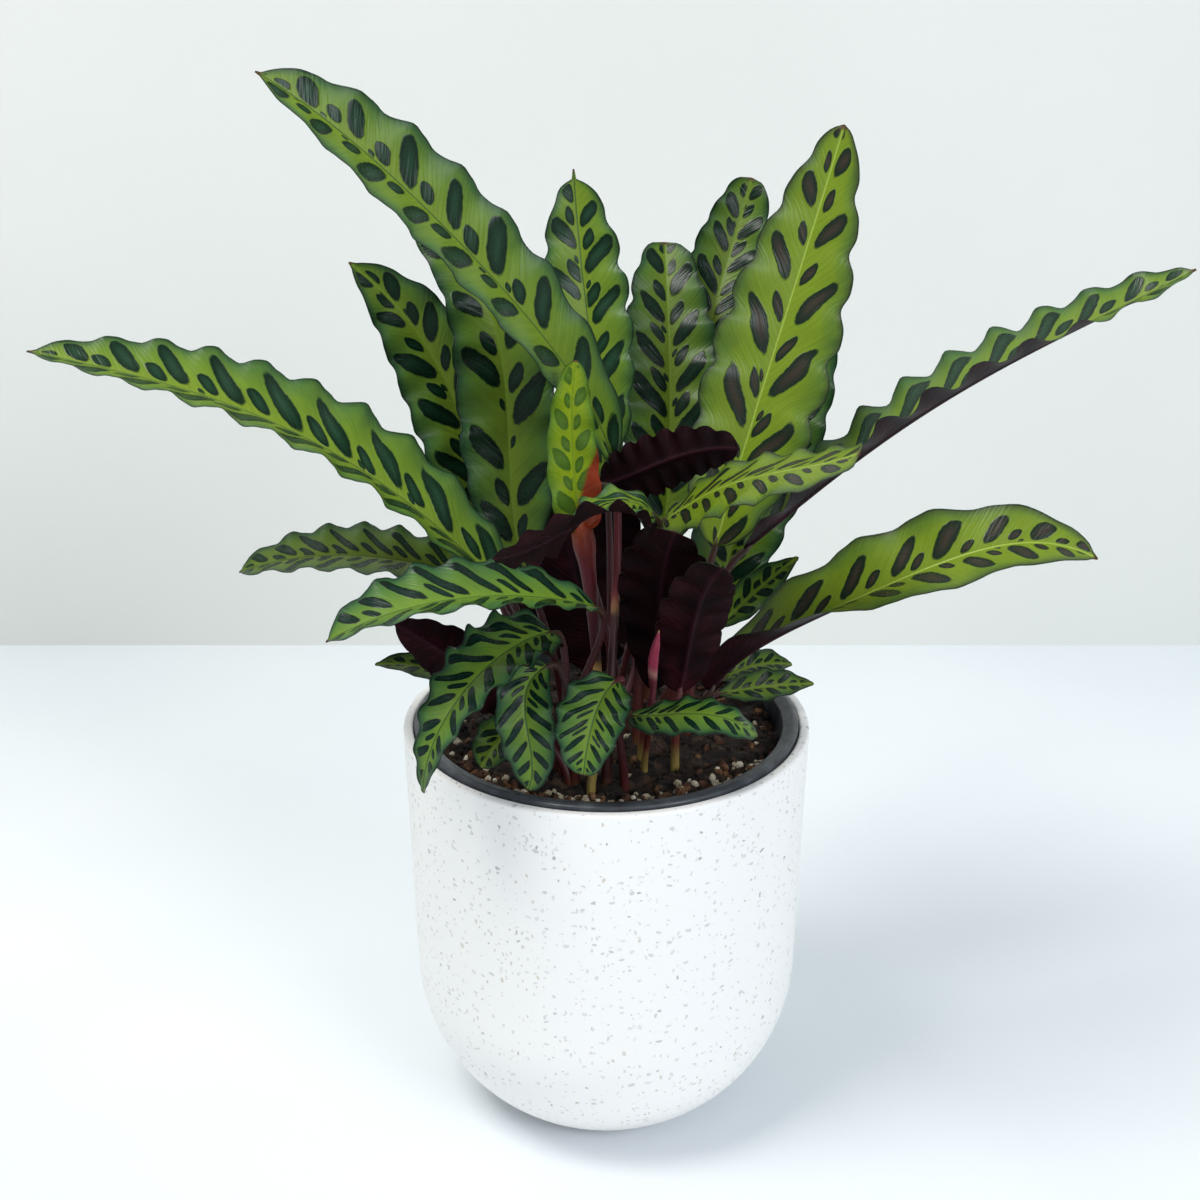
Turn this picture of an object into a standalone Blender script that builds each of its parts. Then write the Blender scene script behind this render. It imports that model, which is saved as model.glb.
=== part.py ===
"""Calathea with long, wave-edged leaves, in a nursery pot that stands in a round-bottomed cover pot.

Metres, +Z up. The origin is the centre of the cover pot's foot, on the floor. The side that is
looked at is -Y, and +X is then to the right. Sizes below are in millimetres.
"""
from collections import namedtuple

import bpy
import numpy as np

MM = 0.001
GAP = 0.3

# Cover pot: near-straight wall above a rounded bottom, cut off by a small flat foot
COVER_HEIGHT = 198.0
COVER_TOP_RADIUS = 95.0
COVER_MOUTH_RADIUS = 90.4
COVER_WAIST_HEIGHT = 74.4
COVER_WAIST_RADIUS = 92.2
COVER_INNER_WAIST = 87.0
COVER_FOOT_RADIUS = 50.0
COVER_FOOT_EDGE = 1.2
COVER_FLOOR = 20.0
COVER_INNER_FLOOR_RADIUS = 66.0
COVER_LIP_ROUND = 1.2
ARC_STEPS = 8

# Nursery pot: thin tapered wall and a rolled rim that stands just inside the cover pot's mouth
NURSERY_TOP = 200.0
NURSERY_BOTTOM = COVER_FLOOR + GAP
NURSERY_BASE_RADIUS = 58.0
NURSERY_WALL = 1.8
NURSERY_FLOOR = 2.2
RIM_RADIUS = 90.0
RIM_UNDERSIDE = 195.0
RIM_CREST_RADIUS = 87.6
RIM_INNER_RADIUS = 82.6
RIM_INNER_HEIGHT = 198.4
RIM_ROUND = 1.4
WALL_TOP_RADIUS = 83.6

# Potting mix: fills the nursery pot to 10 mm below its rim
SOIL_LEVEL = 190.0
SOIL_RINGS = (0, 14, 28, 42, 56, 68, 77)
SOIL_LUMP = 1.5
SOIL_BROAD = (0.21, 0.19, 1.0)
SOIL_FINE = (0.37, -0.31, 2.0)
SOIL_FINE_SHARE = 0.7
SOIL_BRIM_DROP = 1.0
HOLE_DEPTH = 12.0
HOLE_CLEARANCE = 0.5
HOLE_SIDES = 8
AROUND = 40

# Leaves
FRONT = np.array([0.0, -0.91, 0.42])
BLADE_THICKNESS = 1.2
MIDRIB_KEEL = 1.4
ACROSS = np.array([-1.0, -0.5, 0.0, 0.5, 1.0])
NECK_HALF_WIDTH = 2.0
TAIL_HALF_WIDTH = 1.8
TIP_HALF_WIDTH = 0.6
WAVE_GROWTH = 1.6
MARGIN_SWELL = 0.05
MARGIN_LEAD = 1.2
WAVE_START = 0.25
FAR_MARGIN_SHIFT = 0.5
LEAST_ROWS = 10
ROUTE_STEPS = 200
TUBE_SEAM = np.array([0.31, -0.95, 0.05])
STALK_SIDES = 6
STALK_STEPS = 5
STALK_GAP = 0.45
STALK_COLLAR = 2.5
STALK_SINK = 9.0
STALK_GIRTH = (2.4, 2.0, 1.7)
UPRIGHT = (0.0, 0.0, 1.0)

# foot: where the stalk leaves the mix (x, y); line: midrib from neck to tip; half: greatest half
# width; roll: turn about the midrib from neck to tip, in degrees, 0 where the top faces FRONT;
# fold: lift of each half from flat, at neck and tip; waves: ripples in each margin; blunt: under 1
# for a full, round-ended outline; peak: under 1 moves the widest place toward the neck, and over 1
# toward the tip; crowd: over 1 for waves that are shorter toward the tip; ruffle: height of the
# waves as a share of the half width; tail: share of the length taken by the narrow drip tip;
# girth: stalk radii from foot to neck; lean and pull: the stalk's first direction and how long it
# keeps the blade's direction at the neck
Leaf = namedtuple("Leaf",
                  "foot line half roll fold waves blunt peak crowd ruffle tail girth lean pull",
                  defaults=(0.55, 0.9, 1.0, 0.12, 0.03, STALK_GIRTH, UPRIGHT, 0.6))

LEAVES = {
    1: Leaf((0, -51),
            ((3, -6, 326), (-24, -24, 384), (-66, -42, 438), (-102, -56, 476), (-133, -66, 501)),
            22.5, (33, 33, 30), (22, 22), 8, 0.42, 1.2, 1.25, 0.1, girth=(2.6, 2.2, 2.0)),
    2: Leaf((-39, -12),
            ((-45, -26, 274), (-76, -34, 309), (-116, -42, 343), (-179, -50, 374), (-236, -52, 389)),
            28, (56, 56, 50), (22, 22), 10, 0.48, 0.8, 1.2, 0.1),
    3: Leaf((-34, 16), ((-54, 20, 270), (-68, 28, 341), (-90, 34, 381), (-115, 36, 406)),
            23, (10, 10), (15, 15), 8, 0.6),
    4: Leaf((-20, 8), ((-37, 6, 270), (-44, 12, 331), (-56, 24, 396), (-86, 36, 421)),
            23, (10, 0), (14, 14), 8),
    5: Leaf((2, 34), ((0, 38, 303), (-7, 48, 363), (-13, 62, 414), (-15, 66, 442)),
            20, (0, 10), (15, 15), 7, 0.45, 1.2, tail=0.1),
    6: Leaf((16, 22), ((26, 28, 276), (30, 52, 329), (29, 78, 376), (28, 98, 402)),
            24, (0, 0), (18, 18), 8, 0.45),
    7: Leaf((20, 36), ((44, 70, 317), (54, 96, 379), (64, 112, 409), (70, 118, 429)),
            20, (0, 0), (15, 15), 8, 0.42),
    8: Leaf((30, 8), ((50, 10, 281), (68, 20, 345), (86, 34, 403), (104, 44, 465)),
            27.5, (0, 0), (12, 12), 8, 0.6, 0.8, ruffle=0.08),
    9: Leaf((38, 1), ((64, 20, 276), (115, 16, 322), (167, 10, 361), (219, 6, 391), (253, 4, 410)),
            25, (-78, -76, -72, -50), (30, 20), 10, crowd=1.1),
    10: Leaf((32, -12),
             ((46, -28, 226), (84, -44, 265), (123, -56, 290), (159, -62, 307), (205, -64, 303)),
             24, (-98, -65, -35, -30), (40, 15), 5, 0.5, 0.9, 1.3, 0.09),
    11: Leaf((28, 30), ((55, 44, 229), (62, 54, 269), (80, 70, 317), (103, 88, 367)),
             25, (0, 0), (15, 15), 8, 0.45, 1.05),
    12: Leaf((14, -10), ((25, -18, 304), (41, -46, 325), (61, -74, 343), (80, -94, 354), (97, -108, 364)),
             20, (-52, -58), (-6, -6), 6, 0.42, 1.1, ruffle=0.1),
    13: Leaf((2, -6), ((21, -48, 316), (1, -72, 330), (-23, -98, 325), (-45, -112, 322)),
             20, (45, 60, 104, 114), (-20, 6), 8, 0.5, lean=(0.1, 0.15, 1.0), pull=0.3),
    14: Leaf((8, 4), ((-2, -12, 318), (14, -18, 326), (29, -20, 333), (43, -21, 337), (57, -23, 338)),
             13, (-165, -160), (10, 10), 8, 0.4, 0.75),
    15: Leaf((16, -24), ((21, -28, 226), (23, -38, 269), (25, -56, 300), (28, -66, 316)),
             19, (172, 176), (10, 10), 6, 0.38, 1.3),
    16: Leaf((-28, 1), ((-57, -6, 270), (-87, -16, 283), (-126, -24, 289), (-162, -26, 282)),
             18.5, (50, 52), (14, 14), 7, 0.5),
    17: Leaf((-22, -34), ((-5, -46, 274), (-35, -68, 288), (-76, -90, 293), (-114, -100, 281)),
             22, (57, 57), (18, 18), 7, 0.42, 1.2, ruffle=0.1),
    18: Leaf((-20, -42), ((-24, -48, 263), (-45, -76, 264), (-63, -98, 252), (-77, -100, 212)),
             18.5, (40, 35, 25), (15, 15), 8, 0.9, 0.55, ruffle=0.15),
    19: Leaf((-42.2, -10.2), ((-58, -10, 213), (-81, -12, 229), (-106, -12, 231)),
             9, (40, 40), (15, 15), 4, 0.8),
    20: Leaf((-14, -50), ((-26, -56, 250), (-35, -70, 242), (-33, -79, 224), (-34, -81, 203)),
             13, (10, 0), (15, 15), 5),
    21: Leaf((-7, -57), ((4, -62, 246), (-4, -76, 240), (-8, -86, 229), (-10, -92, 216)),
             16, (18, 18), (15, 15), 5),
    22: Leaf((-17, -49), ((-39, -44, 217), (-47, -56, 215), (-55, -64, 205)),
             11, (20, 20), (10, 10), 3, 0.5),
    23: Leaf((8, -55), ((10, -63, 230), (27, -74, 236), (44, -81, 239), (64, -81, 229)),
             12, (-50, -50), (-5, -5), 5, 0.5),
    24: Leaf((43, 9), ((54, 14, 204), (78, 12, 209), (98, 10, 211)),
             10, (-40, -40), (10, 10), 4, 0.8),
    25: Leaf((-3, -18), ((-11, -26, 302), (-14, -30, 326), (-15, -34, 350), (-13, -40, 382)),
             12, (0, 0), (28, 12), 5, 0.42, 0.62, girth=(2.2, 2.3, 3.6, 5.8)),
    27: Leaf((37, 22), ((53, 22, 235), (72, 20, 256), (89, 18, 272)),
             9, (-20, -20), (10, 10), 4, 0.8),
    28: Leaf((31, -35), ((32, -43, 232), (36, -58, 267), (40, -78, 294), (46, -94, 311)),
             15, (-170, -165), (10, 10), 6, 0.4),
    29: Leaf((44, 12), ((56, 30, 204), (74, 32, 211), (90, 34, 210)),
             10, (-40, -40), (10, 10), 4, 0.8),
    30: Leaf((-22, -22), ((-28, -26, 220), (-48, -32, 230), (-69, -36, 246), (-93, -38, 262)),
             15, (175, 175), (10, 10), 7, 0.5, 0.7),
    31: Leaf((6, 7), ((10, 38, 217), (-8, 46, 232), (-18, 52, 272), (-16, 56, 332)),
             34, (175, 175), (8, 8), 7, 0.4, ruffle=0.08),
}

# Stalks that leave the mix side by side, grown together at the foot
TWIN_STALKS = ((2, 19), (14, 31), (20, 22), (24, 29))

# Furled shoot: a rolled leaf tip on its own stalk
SHOOT_FOOT = (17, -41)
SHOOT_LINE = ((20, -52, 234), (20, -54, 243), (20, -57, 253), (21, -60, 262), (22, -63, 270))
SHOOT_RADII = (2.4, 2.4, 2.2, 2.0, 1.9, 1.8, 1.8, 2.8, 3.4, 2.6, 0.5)


def unit(vectors):
    return vectors / np.linalg.norm(vectors, axis=-1, keepdims=True)


def material(name, colour, roughness):
    """A plain Principled material with the part's colour and roughness."""
    made = bpy.data.materials.new(name)
    made.use_nodes = True
    shader = made.node_tree.nodes["Principled BSDF"]
    shader.inputs["Base Color"].default_value = (*colour, 1.0)
    shader.inputs["Roughness"].default_value = roughness
    made.diffuse_color = (*colour, 1.0)
    return made


def mesh_object(name, points, faces, look, smooth=True):
    """A closed mesh, from points in millimetres, as an object at the origin."""
    mesh = bpy.data.meshes.new(name)
    mesh.from_pydata((np.asarray(points) * MM).tolist(), [], [list(map(int, face)) for face in faces])
    mesh.polygons.foreach_set("use_smooth", [smooth] * len(mesh.polygons))
    mesh.materials.append(look)
    made = bpy.data.objects.new(name, mesh)
    bpy.context.scene.collection.objects.link(made)
    return made


def apply_boolean(target, tools, operation):
    """Joins a collection of tools to the target, or cuts it from the target, and removes it."""
    group = bpy.data.collections.new("tools")
    for tool in tools:
        group.objects.link(tool)
    step = target.modifiers.new("step", "BOOLEAN")
    step.operation = operation
    step.solver = "EXACT"
    step.operand_type = "COLLECTION"
    step.collection = group
    bpy.context.view_layer.update()
    graph = bpy.context.evaluated_depsgraph_get()
    result = bpy.data.meshes.new_from_object(target.evaluated_get(graph))
    target.modifiers.clear()
    target.data = result
    for tool in tools:
        bpy.data.objects.remove(tool)
    bpy.data.collections.remove(group)


def revolved(name, profile, look):
    """A solid of revolution from a closed (radius, height) outline that starts and ends on the axis."""
    turn = np.arange(AROUND) * 2 * np.pi / AROUND
    rings = [(radius, height) for radius, height in profile if radius > 0]
    points = [(r * np.cos(a), r * np.sin(a), z) for r, z in rings for a in turn]
    low, high = len(points), len(points) + 1
    points += [(0, 0, profile[0][1]), (0, 0, profile[-1][1])]
    faces = []
    for j in range(AROUND):
        k = (j + 1) % AROUND
        faces.append((low, k, j))
        for i in range(len(rings) - 1):
            here, above = i * AROUND, (i + 1) * AROUND
            faces.append((here + j, here + k, above + k, above + j))
        last = (len(rings) - 1) * AROUND
        faces.append((last + j, last + k, high))
    return mesh_object(name, points, faces, look)


def rounded_bottom(waist_radius, cut_height, cut_radius):
    """Points up an ellipse arc from the cut to the waist, where the wall is upright."""
    reach = COVER_WAIST_HEIGHT - cut_height
    depth = reach / np.sqrt(1 - (cut_radius / waist_radius) ** 2)
    heights = np.linspace(cut_height, COVER_WAIST_HEIGHT, ARC_STEPS + 1)
    radii = waist_radius * np.sqrt(1 - ((COVER_WAIST_HEIGHT - heights) / depth) ** 2)
    return list(zip(radii, heights))


def cover_pot(look):
    outer = rounded_bottom(COVER_WAIST_RADIUS, COVER_FOOT_EDGE, COVER_FOOT_RADIUS + COVER_FOOT_EDGE)
    inner = rounded_bottom(COVER_INNER_WAIST, COVER_FLOOR, COVER_INNER_FLOOR_RADIUS)
    lip = COVER_LIP_ROUND
    rim = [(COVER_TOP_RADIUS, COVER_HEIGHT - lip), (COVER_TOP_RADIUS - lip, COVER_HEIGHT),
           (COVER_MOUTH_RADIUS + lip, COVER_HEIGHT), (COVER_MOUTH_RADIUS, COVER_HEIGHT - lip)]
    profile = [(0, 0), (COVER_FOOT_RADIUS, 0)] + outer + rim + inner[::-1] + [(0, COVER_FLOOR)]
    return revolved("cover_pot", profile, look)


def nursery_wall(height):
    """Radius of the nursery pot's tapered outer wall at a height."""
    rise = (height - NURSERY_BOTTOM) / (RIM_UNDERSIDE - NURSERY_BOTTOM)
    return NURSERY_BASE_RADIUS + (WALL_TOP_RADIUS - NURSERY_BASE_RADIUS) * rise


def nursery_pot(look):
    floor = NURSERY_BOTTOM + NURSERY_FLOOR
    inside_top = RIM_INNER_HEIGHT - RIM_ROUND
    profile = [
        (0, NURSERY_BOTTOM),
        (NURSERY_BASE_RADIUS, NURSERY_BOTTOM),
        (nursery_wall(SOIL_LEVEL / 2), SOIL_LEVEL / 2),
        (WALL_TOP_RADIUS, RIM_UNDERSIDE),
        (RIM_RADIUS - RIM_ROUND / 2, RIM_UNDERSIDE),
        (RIM_RADIUS, RIM_UNDERSIDE + RIM_ROUND / 2),
        (RIM_RADIUS, NURSERY_TOP - RIM_ROUND),
        (RIM_RADIUS - RIM_ROUND / 2, NURSERY_TOP - RIM_ROUND / 3),
        (RIM_CREST_RADIUS, NURSERY_TOP),
        (RIM_INNER_RADIUS, RIM_INNER_HEIGHT),
        (nursery_wall(inside_top) - NURSERY_WALL, inside_top),
        (nursery_wall(SOIL_LEVEL / 2) - NURSERY_WALL, SOIL_LEVEL / 2),
        (nursery_wall(floor) - NURSERY_WALL, floor),
        (0, floor),
    ]
    return revolved("nursery_pot", profile, look)


def soil_height(x, y):
    """Surface of the mix: low lumps from crossed sine waves."""
    along, back, start = SOIL_BROAD
    broad = np.sin(along * x + start) * np.sin(back * y)
    along, back, start = SOIL_FINE
    fine = np.sin(along * x + back * y + start)
    return float(SOIL_LEVEL + SOIL_LUMP * (broad + SOIL_FINE_SHARE * fine))


def potting_mix(look, feet):
    """The mix, with a plain hole for each stalk."""
    floor = NURSERY_BOTTOM + NURSERY_FLOOR + GAP
    brim = SOIL_LEVEL - SOIL_BRIM_DROP
    edge = nursery_wall(brim) - NURSERY_WALL - GAP
    turn = np.arange(AROUND) * 2 * np.pi / AROUND
    points = [(0, 0, soil_height(0, 0))]
    for radius in SOIL_RINGS[1:]:
        for angle in turn:
            x, y = radius * np.cos(angle), radius * np.sin(angle)
            points.append((x, y, soil_height(x, y)))
    low = nursery_wall(floor) - NURSERY_WALL - GAP
    for radius, height in ((edge, brim), (low, floor)):
        points += [(radius * np.cos(a), radius * np.sin(a), height) for a in turn]
    points.append((0, 0, floor))
    faces = []
    rings = len(SOIL_RINGS) - 1 + 2
    for j in range(AROUND):
        k = (j + 1) % AROUND
        faces.append((0, 1 + j, 1 + k))
        for i in range(rings - 1):
            here, out = 1 + i * AROUND, 1 + (i + 1) * AROUND
            faces.append((here + j, out + j, out + k))
            faces.append((here + j, out + k, here + k))
        last = 1 + (rings - 1) * AROUND
        faces.append((last + j, len(points) - 1, last + k))
    mix = mesh_object("potting_mix", points, faces, look, smooth=False)
    cutters = [hole_cutter(foot, radius) for foot, radius in feet]
    apply_boolean(mix, cutters, "DIFFERENCE")
    return mix


def hole_cutter(foot, radius):
    """An upright prism that clears a stalk of this radius."""
    reach = (radius + HOLE_CLEARANCE) / np.cos(np.pi / HOLE_SIDES)
    line = [(*foot, SOIL_LEVEL - HOLE_DEPTH), (*foot, SOIL_LEVEL + HOLE_DEPTH)]
    points, faces = tube(np.array(line, float), [reach, reach], HOLE_SIDES)
    return mesh_object("cutter", points, faces, None)


def curve(line, share):
    """The smooth curve through a few points, each met at its share of the length."""
    line = np.asarray(line, float)
    knots = np.concatenate([[0], np.cumsum(np.linalg.norm(np.diff(line, axis=0), axis=1))])
    knots /= knots[-1]
    result = np.zeros((len(share), 3))
    for i, point in enumerate(line):
        weight = np.ones(len(share))
        for j, knot in enumerate(knots):
            if j != i:
                weight *= (share - knot) / (knots[i] - knot)
        result += weight[:, None] * point
    return result


def midrib(leaf, share):
    """Points at these shares of the midrib's length, with its direction at each."""
    fine = curve(leaf.line, np.linspace(0, 1, ROUTE_STEPS))
    walked = np.concatenate([[0], np.cumsum(np.linalg.norm(np.diff(fine, axis=0), axis=1))])
    at = share * walked[-1]
    points = np.stack([np.interp(at, walked, fine[:, axis]) for axis in range(3)], -1)
    ways = unit(np.gradient(fine, axis=0))
    ways = unit(np.stack([np.interp(at, walked, ways[:, axis]) for axis in range(3)], -1))
    return points, ways


def half_width(leaf, share):
    """Half the blade's width along its length: a sine arch, made fuller or moved by powers, then a tail."""
    body = (share / (1 - leaf.tail)).clip(0, 1)
    arch = np.sin(np.pi * body ** leaf.peak).clip(0) ** leaf.blunt
    tail = np.interp(share, (1 - leaf.tail, 1), (TAIL_HALF_WIDTH, TIP_HALF_WIDTH))
    return np.maximum(leaf.half * arch, np.where(share < 0.5, NECK_HALF_WIDTH, tail))


def blade_surface(leaf, rows):
    """Top face of a blade as a (rows + 1) by across grid, and the facing direction of each row.

    The rows stand closer together toward the tip, as the waves do.
    """
    share = np.linspace(0, 1, rows + 1) ** (1 / leaf.crowd)
    middle, way = midrib(leaf, share)
    front = unit(FRONT - (way @ FRONT)[:, None] * way)
    side = np.cross(way, front)
    roll = np.radians(np.interp(share, np.linspace(0, 1, len(leaf.roll)), leaf.roll))[:, None]
    facing = front * np.cos(roll) + side * np.sin(roll)
    out = side * np.cos(roll) - front * np.sin(roll)
    fold = np.radians(leaf.fold[0] + (leaf.fold[1] - leaf.fold[0]) * share)[:, None, None]
    width = half_width(leaf, share)[:, None, None]
    across = ACROSS[None, :, None]
    reach = np.abs(across)
    start = WAVE_START + np.where(across > 0, FAR_MARGIN_SHIFT, 0.0)
    turns = 2 * np.pi * (leaf.waves * share[:, None, None] ** leaf.crowd + start)
    ripple = leaf.ruffle * width * reach ** WAVE_GROWTH * np.sin(turns)
    spread = width * (1 + MARGIN_SWELL * np.sin(turns + MARGIN_LEAD))
    sideways = across * spread * np.cos(fold)
    upward = reach * spread * np.sin(fold) + ripple
    return middle[:, None] + out[:, None] * sideways + facing[:, None] * upward, facing


def blade(name, leaf, look):
    """A closed blade: both faces are split into triangles alike, with a keel under the midrib."""
    rows = max(LEAST_ROWS, 2 * leaf.waves)
    top, facing = blade_surface(leaf, rows)
    under = top - facing[:, None] * BLADE_THICKNESS
    count = len(ACROSS)
    centre = count // 2
    under[:, centre] -= facing * (MIDRIB_KEEL * np.linspace(1, 0, rows + 1))[:, None]
    points = np.concatenate([top, under], axis=1).reshape(-1, 3)
    step = 2 * count
    faces = []
    for i in range(rows):
        here, ahead = i * step, (i + 1) * step
        for j in range(count - 1):
            a, b, c, d = here + j, here + j + 1, ahead + j + 1, ahead + j
            split = ((a, b, c), (a, c, d)) if j < centre else ((a, b, d), (b, c, d))
            for face in split:
                faces.append(face)
                faces.append(tuple(corner + count for corner in face[::-1]))
        for j, outward in ((0, False), (count - 1, True)):
            a, b, c, d = here + j, here + j + count, ahead + j + count, ahead + j
            edge = ((a, b, c), (a, c, d)) if outward else ((a, c, b), (a, d, c))
            faces.extend(edge)
    for first, outward in ((0, False), (rows * step, True)):
        for j in range(count - 1):
            a, b = first + j, first + j + 1
            c, d = b + count, a + count
            cap = ((a, b, c), (a, c, d)) if outward else ((a, c, b), (a, d, c))
            faces.extend(cap)
    return mesh_object(name, points, faces, look)


def tube(line, radii, sides):
    """A closed tube of this many sides along a line of points."""
    way = unit(np.gradient(line, axis=0))
    first = unit(TUBE_SEAM - (way @ TUBE_SEAM)[:, None] * way)
    second = np.cross(way, first)
    angle = (np.arange(sides) * 2 * np.pi / sides)[None, :, None]
    around = np.cos(angle) * first[:, None] + np.sin(angle) * second[:, None]
    points = (line[:, None] + np.asarray(radii)[:, None, None] * around).reshape(-1, 3)
    faces = []
    for i in range(len(line) - 1):
        for j in range(sides):
            a, b = i * sides + j, i * sides + (j + 1) % sides
            faces.append((a, b, b + sides, a + sides))
    faces.append(tuple(range(sides))[::-1])
    last = (len(line) - 1) * sides
    faces.append(tuple(range(last, last + sides)))
    return points, faces


def bend(begin, start, end, finish):
    """The smooth cubic from one point to another, with its direction given at both."""
    t = np.linspace(0, 1, STALK_STEPS + 1)[:, None]
    return ((2 * t ** 3 - 3 * t ** 2 + 1) * begin + (t ** 3 - 2 * t ** 2 + t) * start
            + (3 * t ** 2 - 2 * t ** 3) * end + (t ** 3 - t ** 2) * finish)


def stalk_route(leaf):
    """Points from the foot to the neck: upright out of the mix, then bending into the midrib."""
    foot = np.array([*leaf.foot, SOIL_LEVEL], float)
    facing = blade_surface(leaf, LEAST_ROWS)[1]
    middle, way = midrib(leaf, np.zeros(1))
    neck = middle[0] - facing[0] * (BLADE_THICKNESS + MIDRIB_KEEL) / 2 - way[0] * STALK_GAP
    span = np.linalg.norm(neck - foot)
    start = unit(np.array(leaf.lean)) * span
    finish = way[0] * span * leaf.pull
    route = bend(foot, start, neck - way[0] * STALK_COLLAR, finish)
    return np.concatenate([[foot - (0, 0, STALK_SINK)], route, [neck]])


def stalk(name, leaf, look):
    route = stalk_route(leaf)
    share = np.linspace(0, 1, len(route))
    radii = np.interp(share, np.linspace(0, 1, len(leaf.girth)), leaf.girth)
    points, faces = tube(route, radii, STALK_SIDES)
    return mesh_object(name, points, faces, look)


def furled_shoot(look):
    """A rolled leaf tip: a spindle that swells above its stalk and ends in a point."""
    foot = np.array([*SHOOT_FOOT, SOIL_LEVEL], float)
    line = np.array(SHOOT_LINE, float)
    span = np.linalg.norm(line[0] - foot)
    stem = bend(foot, np.array(UPRIGHT) * span, line[0], unit(line[1] - line[0]) * span)
    route = np.concatenate([[foot - (0, 0, STALK_SINK)], stem, line[1:]])
    share = np.linspace(0, 1, len(SHOOT_RADII))
    radii = np.interp(np.linspace(0, 1, len(route)), share, SHOOT_RADII)
    points, faces = tube(route, radii, STALK_SIDES)
    return mesh_object("furled_shoot", points, faces, look)


def main():
    for old in list(bpy.data.objects):
        bpy.data.objects.remove(old)
    stone = material("cover_stone", (0.88, 0.89, 0.90), 0.5)
    plastic = material("nursery_plastic", (0.05, 0.058, 0.065), 0.4)
    mix = material("potting_mix", (0.045, 0.028, 0.02), 0.95)
    green = material("leaf_green", (0.22, 0.36, 0.06), 0.35)
    young = material("young_leaf_green", (0.33, 0.46, 0.04), 0.4)
    red = material("stalk_red", (0.19, 0.05, 0.04), 0.45)
    pink = material("shoot_pink", (0.42, 0.06, 0.13), 0.4)

    cover_pot(stone)
    nursery_pot(plastic)
    feet = [(leaf.foot, leaf.girth[0]) for leaf in LEAVES.values()]
    potting_mix(mix, feet + [(SHOOT_FOOT, SHOOT_RADII[0])])
    stalks = {}
    for number, leaf in LEAVES.items():
        look = young if leaf is LEAVES[25] else green
        blade(f"blade_{number:02d}", leaf, look)
        stalks[number] = stalk(f"stalk_{number:02d}", leaf, red)
    for first, second in TWIN_STALKS:
        apply_boolean(stalks[first], [stalks[second]], "UNION")
        stalks[first].name = f"stalk_{first:02d}_{second:02d}"
    furled_shoot(pink)


main()
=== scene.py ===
"""Looks of the potted calathea: finer pieces over the part's solids, their finishes, the light and the view.

Sizes are in millimetres and become metres where a mesh is made. +Z is up, the side that is looked at is -Y,
and the origin is the centre of the cover pot's foot.
"""

from collections import namedtuple
from functools import partial

import bpy
import numpy as np
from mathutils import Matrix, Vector


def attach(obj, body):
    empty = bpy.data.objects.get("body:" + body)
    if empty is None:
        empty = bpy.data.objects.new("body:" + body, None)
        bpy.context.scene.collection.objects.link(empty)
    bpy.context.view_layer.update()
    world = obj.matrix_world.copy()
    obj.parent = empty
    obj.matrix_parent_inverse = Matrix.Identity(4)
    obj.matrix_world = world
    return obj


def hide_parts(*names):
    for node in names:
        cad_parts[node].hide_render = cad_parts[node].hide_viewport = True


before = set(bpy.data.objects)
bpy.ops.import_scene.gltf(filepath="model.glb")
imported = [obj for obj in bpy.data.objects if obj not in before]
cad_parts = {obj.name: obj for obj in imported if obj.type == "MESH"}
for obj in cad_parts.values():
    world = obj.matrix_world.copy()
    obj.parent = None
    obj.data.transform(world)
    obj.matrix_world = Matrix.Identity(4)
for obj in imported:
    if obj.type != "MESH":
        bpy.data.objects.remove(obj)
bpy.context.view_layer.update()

MM = 0.001
FULL_TURN = 2 * np.pi

# Pots and mix, the same sizes as the part's solids
COVER_HEIGHT = 198.0
COVER_TOP_RADIUS = 95.0
COVER_MOUTH_RADIUS = 90.4
COVER_WAIST_HEIGHT = 74.4
COVER_WAIST_RADIUS = 92.2
COVER_INNER_WAIST = 87.0
COVER_FOOT_RADIUS = 50.0
COVER_FLOOR = 20.0
COVER_INNER_FLOOR_RADIUS = 66.0
COVER_EDGE = 1.2
COVER_RIM_ROUND = 1.6
COVER_RIM_START = 79.4
COVER_FOOT_ROUND = ((-1.0, 0.0), (0.4, 0.3))
CENTRE_RADIUS = 1.0
ARC_STEPS = 40

NURSERY_TOP = 200.0
NURSERY_BOTTOM = 20.3
NURSERY_BASE_RADIUS = 58.0
NURSERY_WALL = 1.8
NURSERY_FLOOR = 2.2
RIM_RADIUS = 90.0
RIM_UNDERSIDE = 195.0
RIM_CREST_RADIUS = 87.6
RIM_INNER_RADIUS = 82.6
RIM_INNER_HEIGHT = 198.4
RIM_EDGE_HEIGHT = 199.1
RIM_LIP = 1.4
RIM_LIP_DROP = 2.0
WALL_TOP_RADIUS = 83.6
AROUND_POTS = 240
CORNER_STEPS = 5

SOIL_LEVEL = 190.0
SOIL_DEPTH = 14.0
SOIL_BROAD = (0.21, 0.19, 1.0)
SOIL_FINE = (0.37, -0.31, 2.0)
SOIL_FINE_SHARE = 0.7
SOIL_LUMP = 1.5
# Finer lumps: length and height of the waves, how many cross at each length, and their seed
SOIL_CRUMBS = ((9.0, 0.55), (5.0, 0.4), (3.0, 0.3), (1.9, 0.22))
CROSSED_WAVES = 4
SOIL_SEED = 7
SOIL_GAP = 0.1
SOIL_MIDDLE_RADIUS = 0.4
SOIL_UNDER_SHARES = (0.985, 0.02)
SOIL_RINGS = 90
AROUND_SOIL = 260

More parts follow.
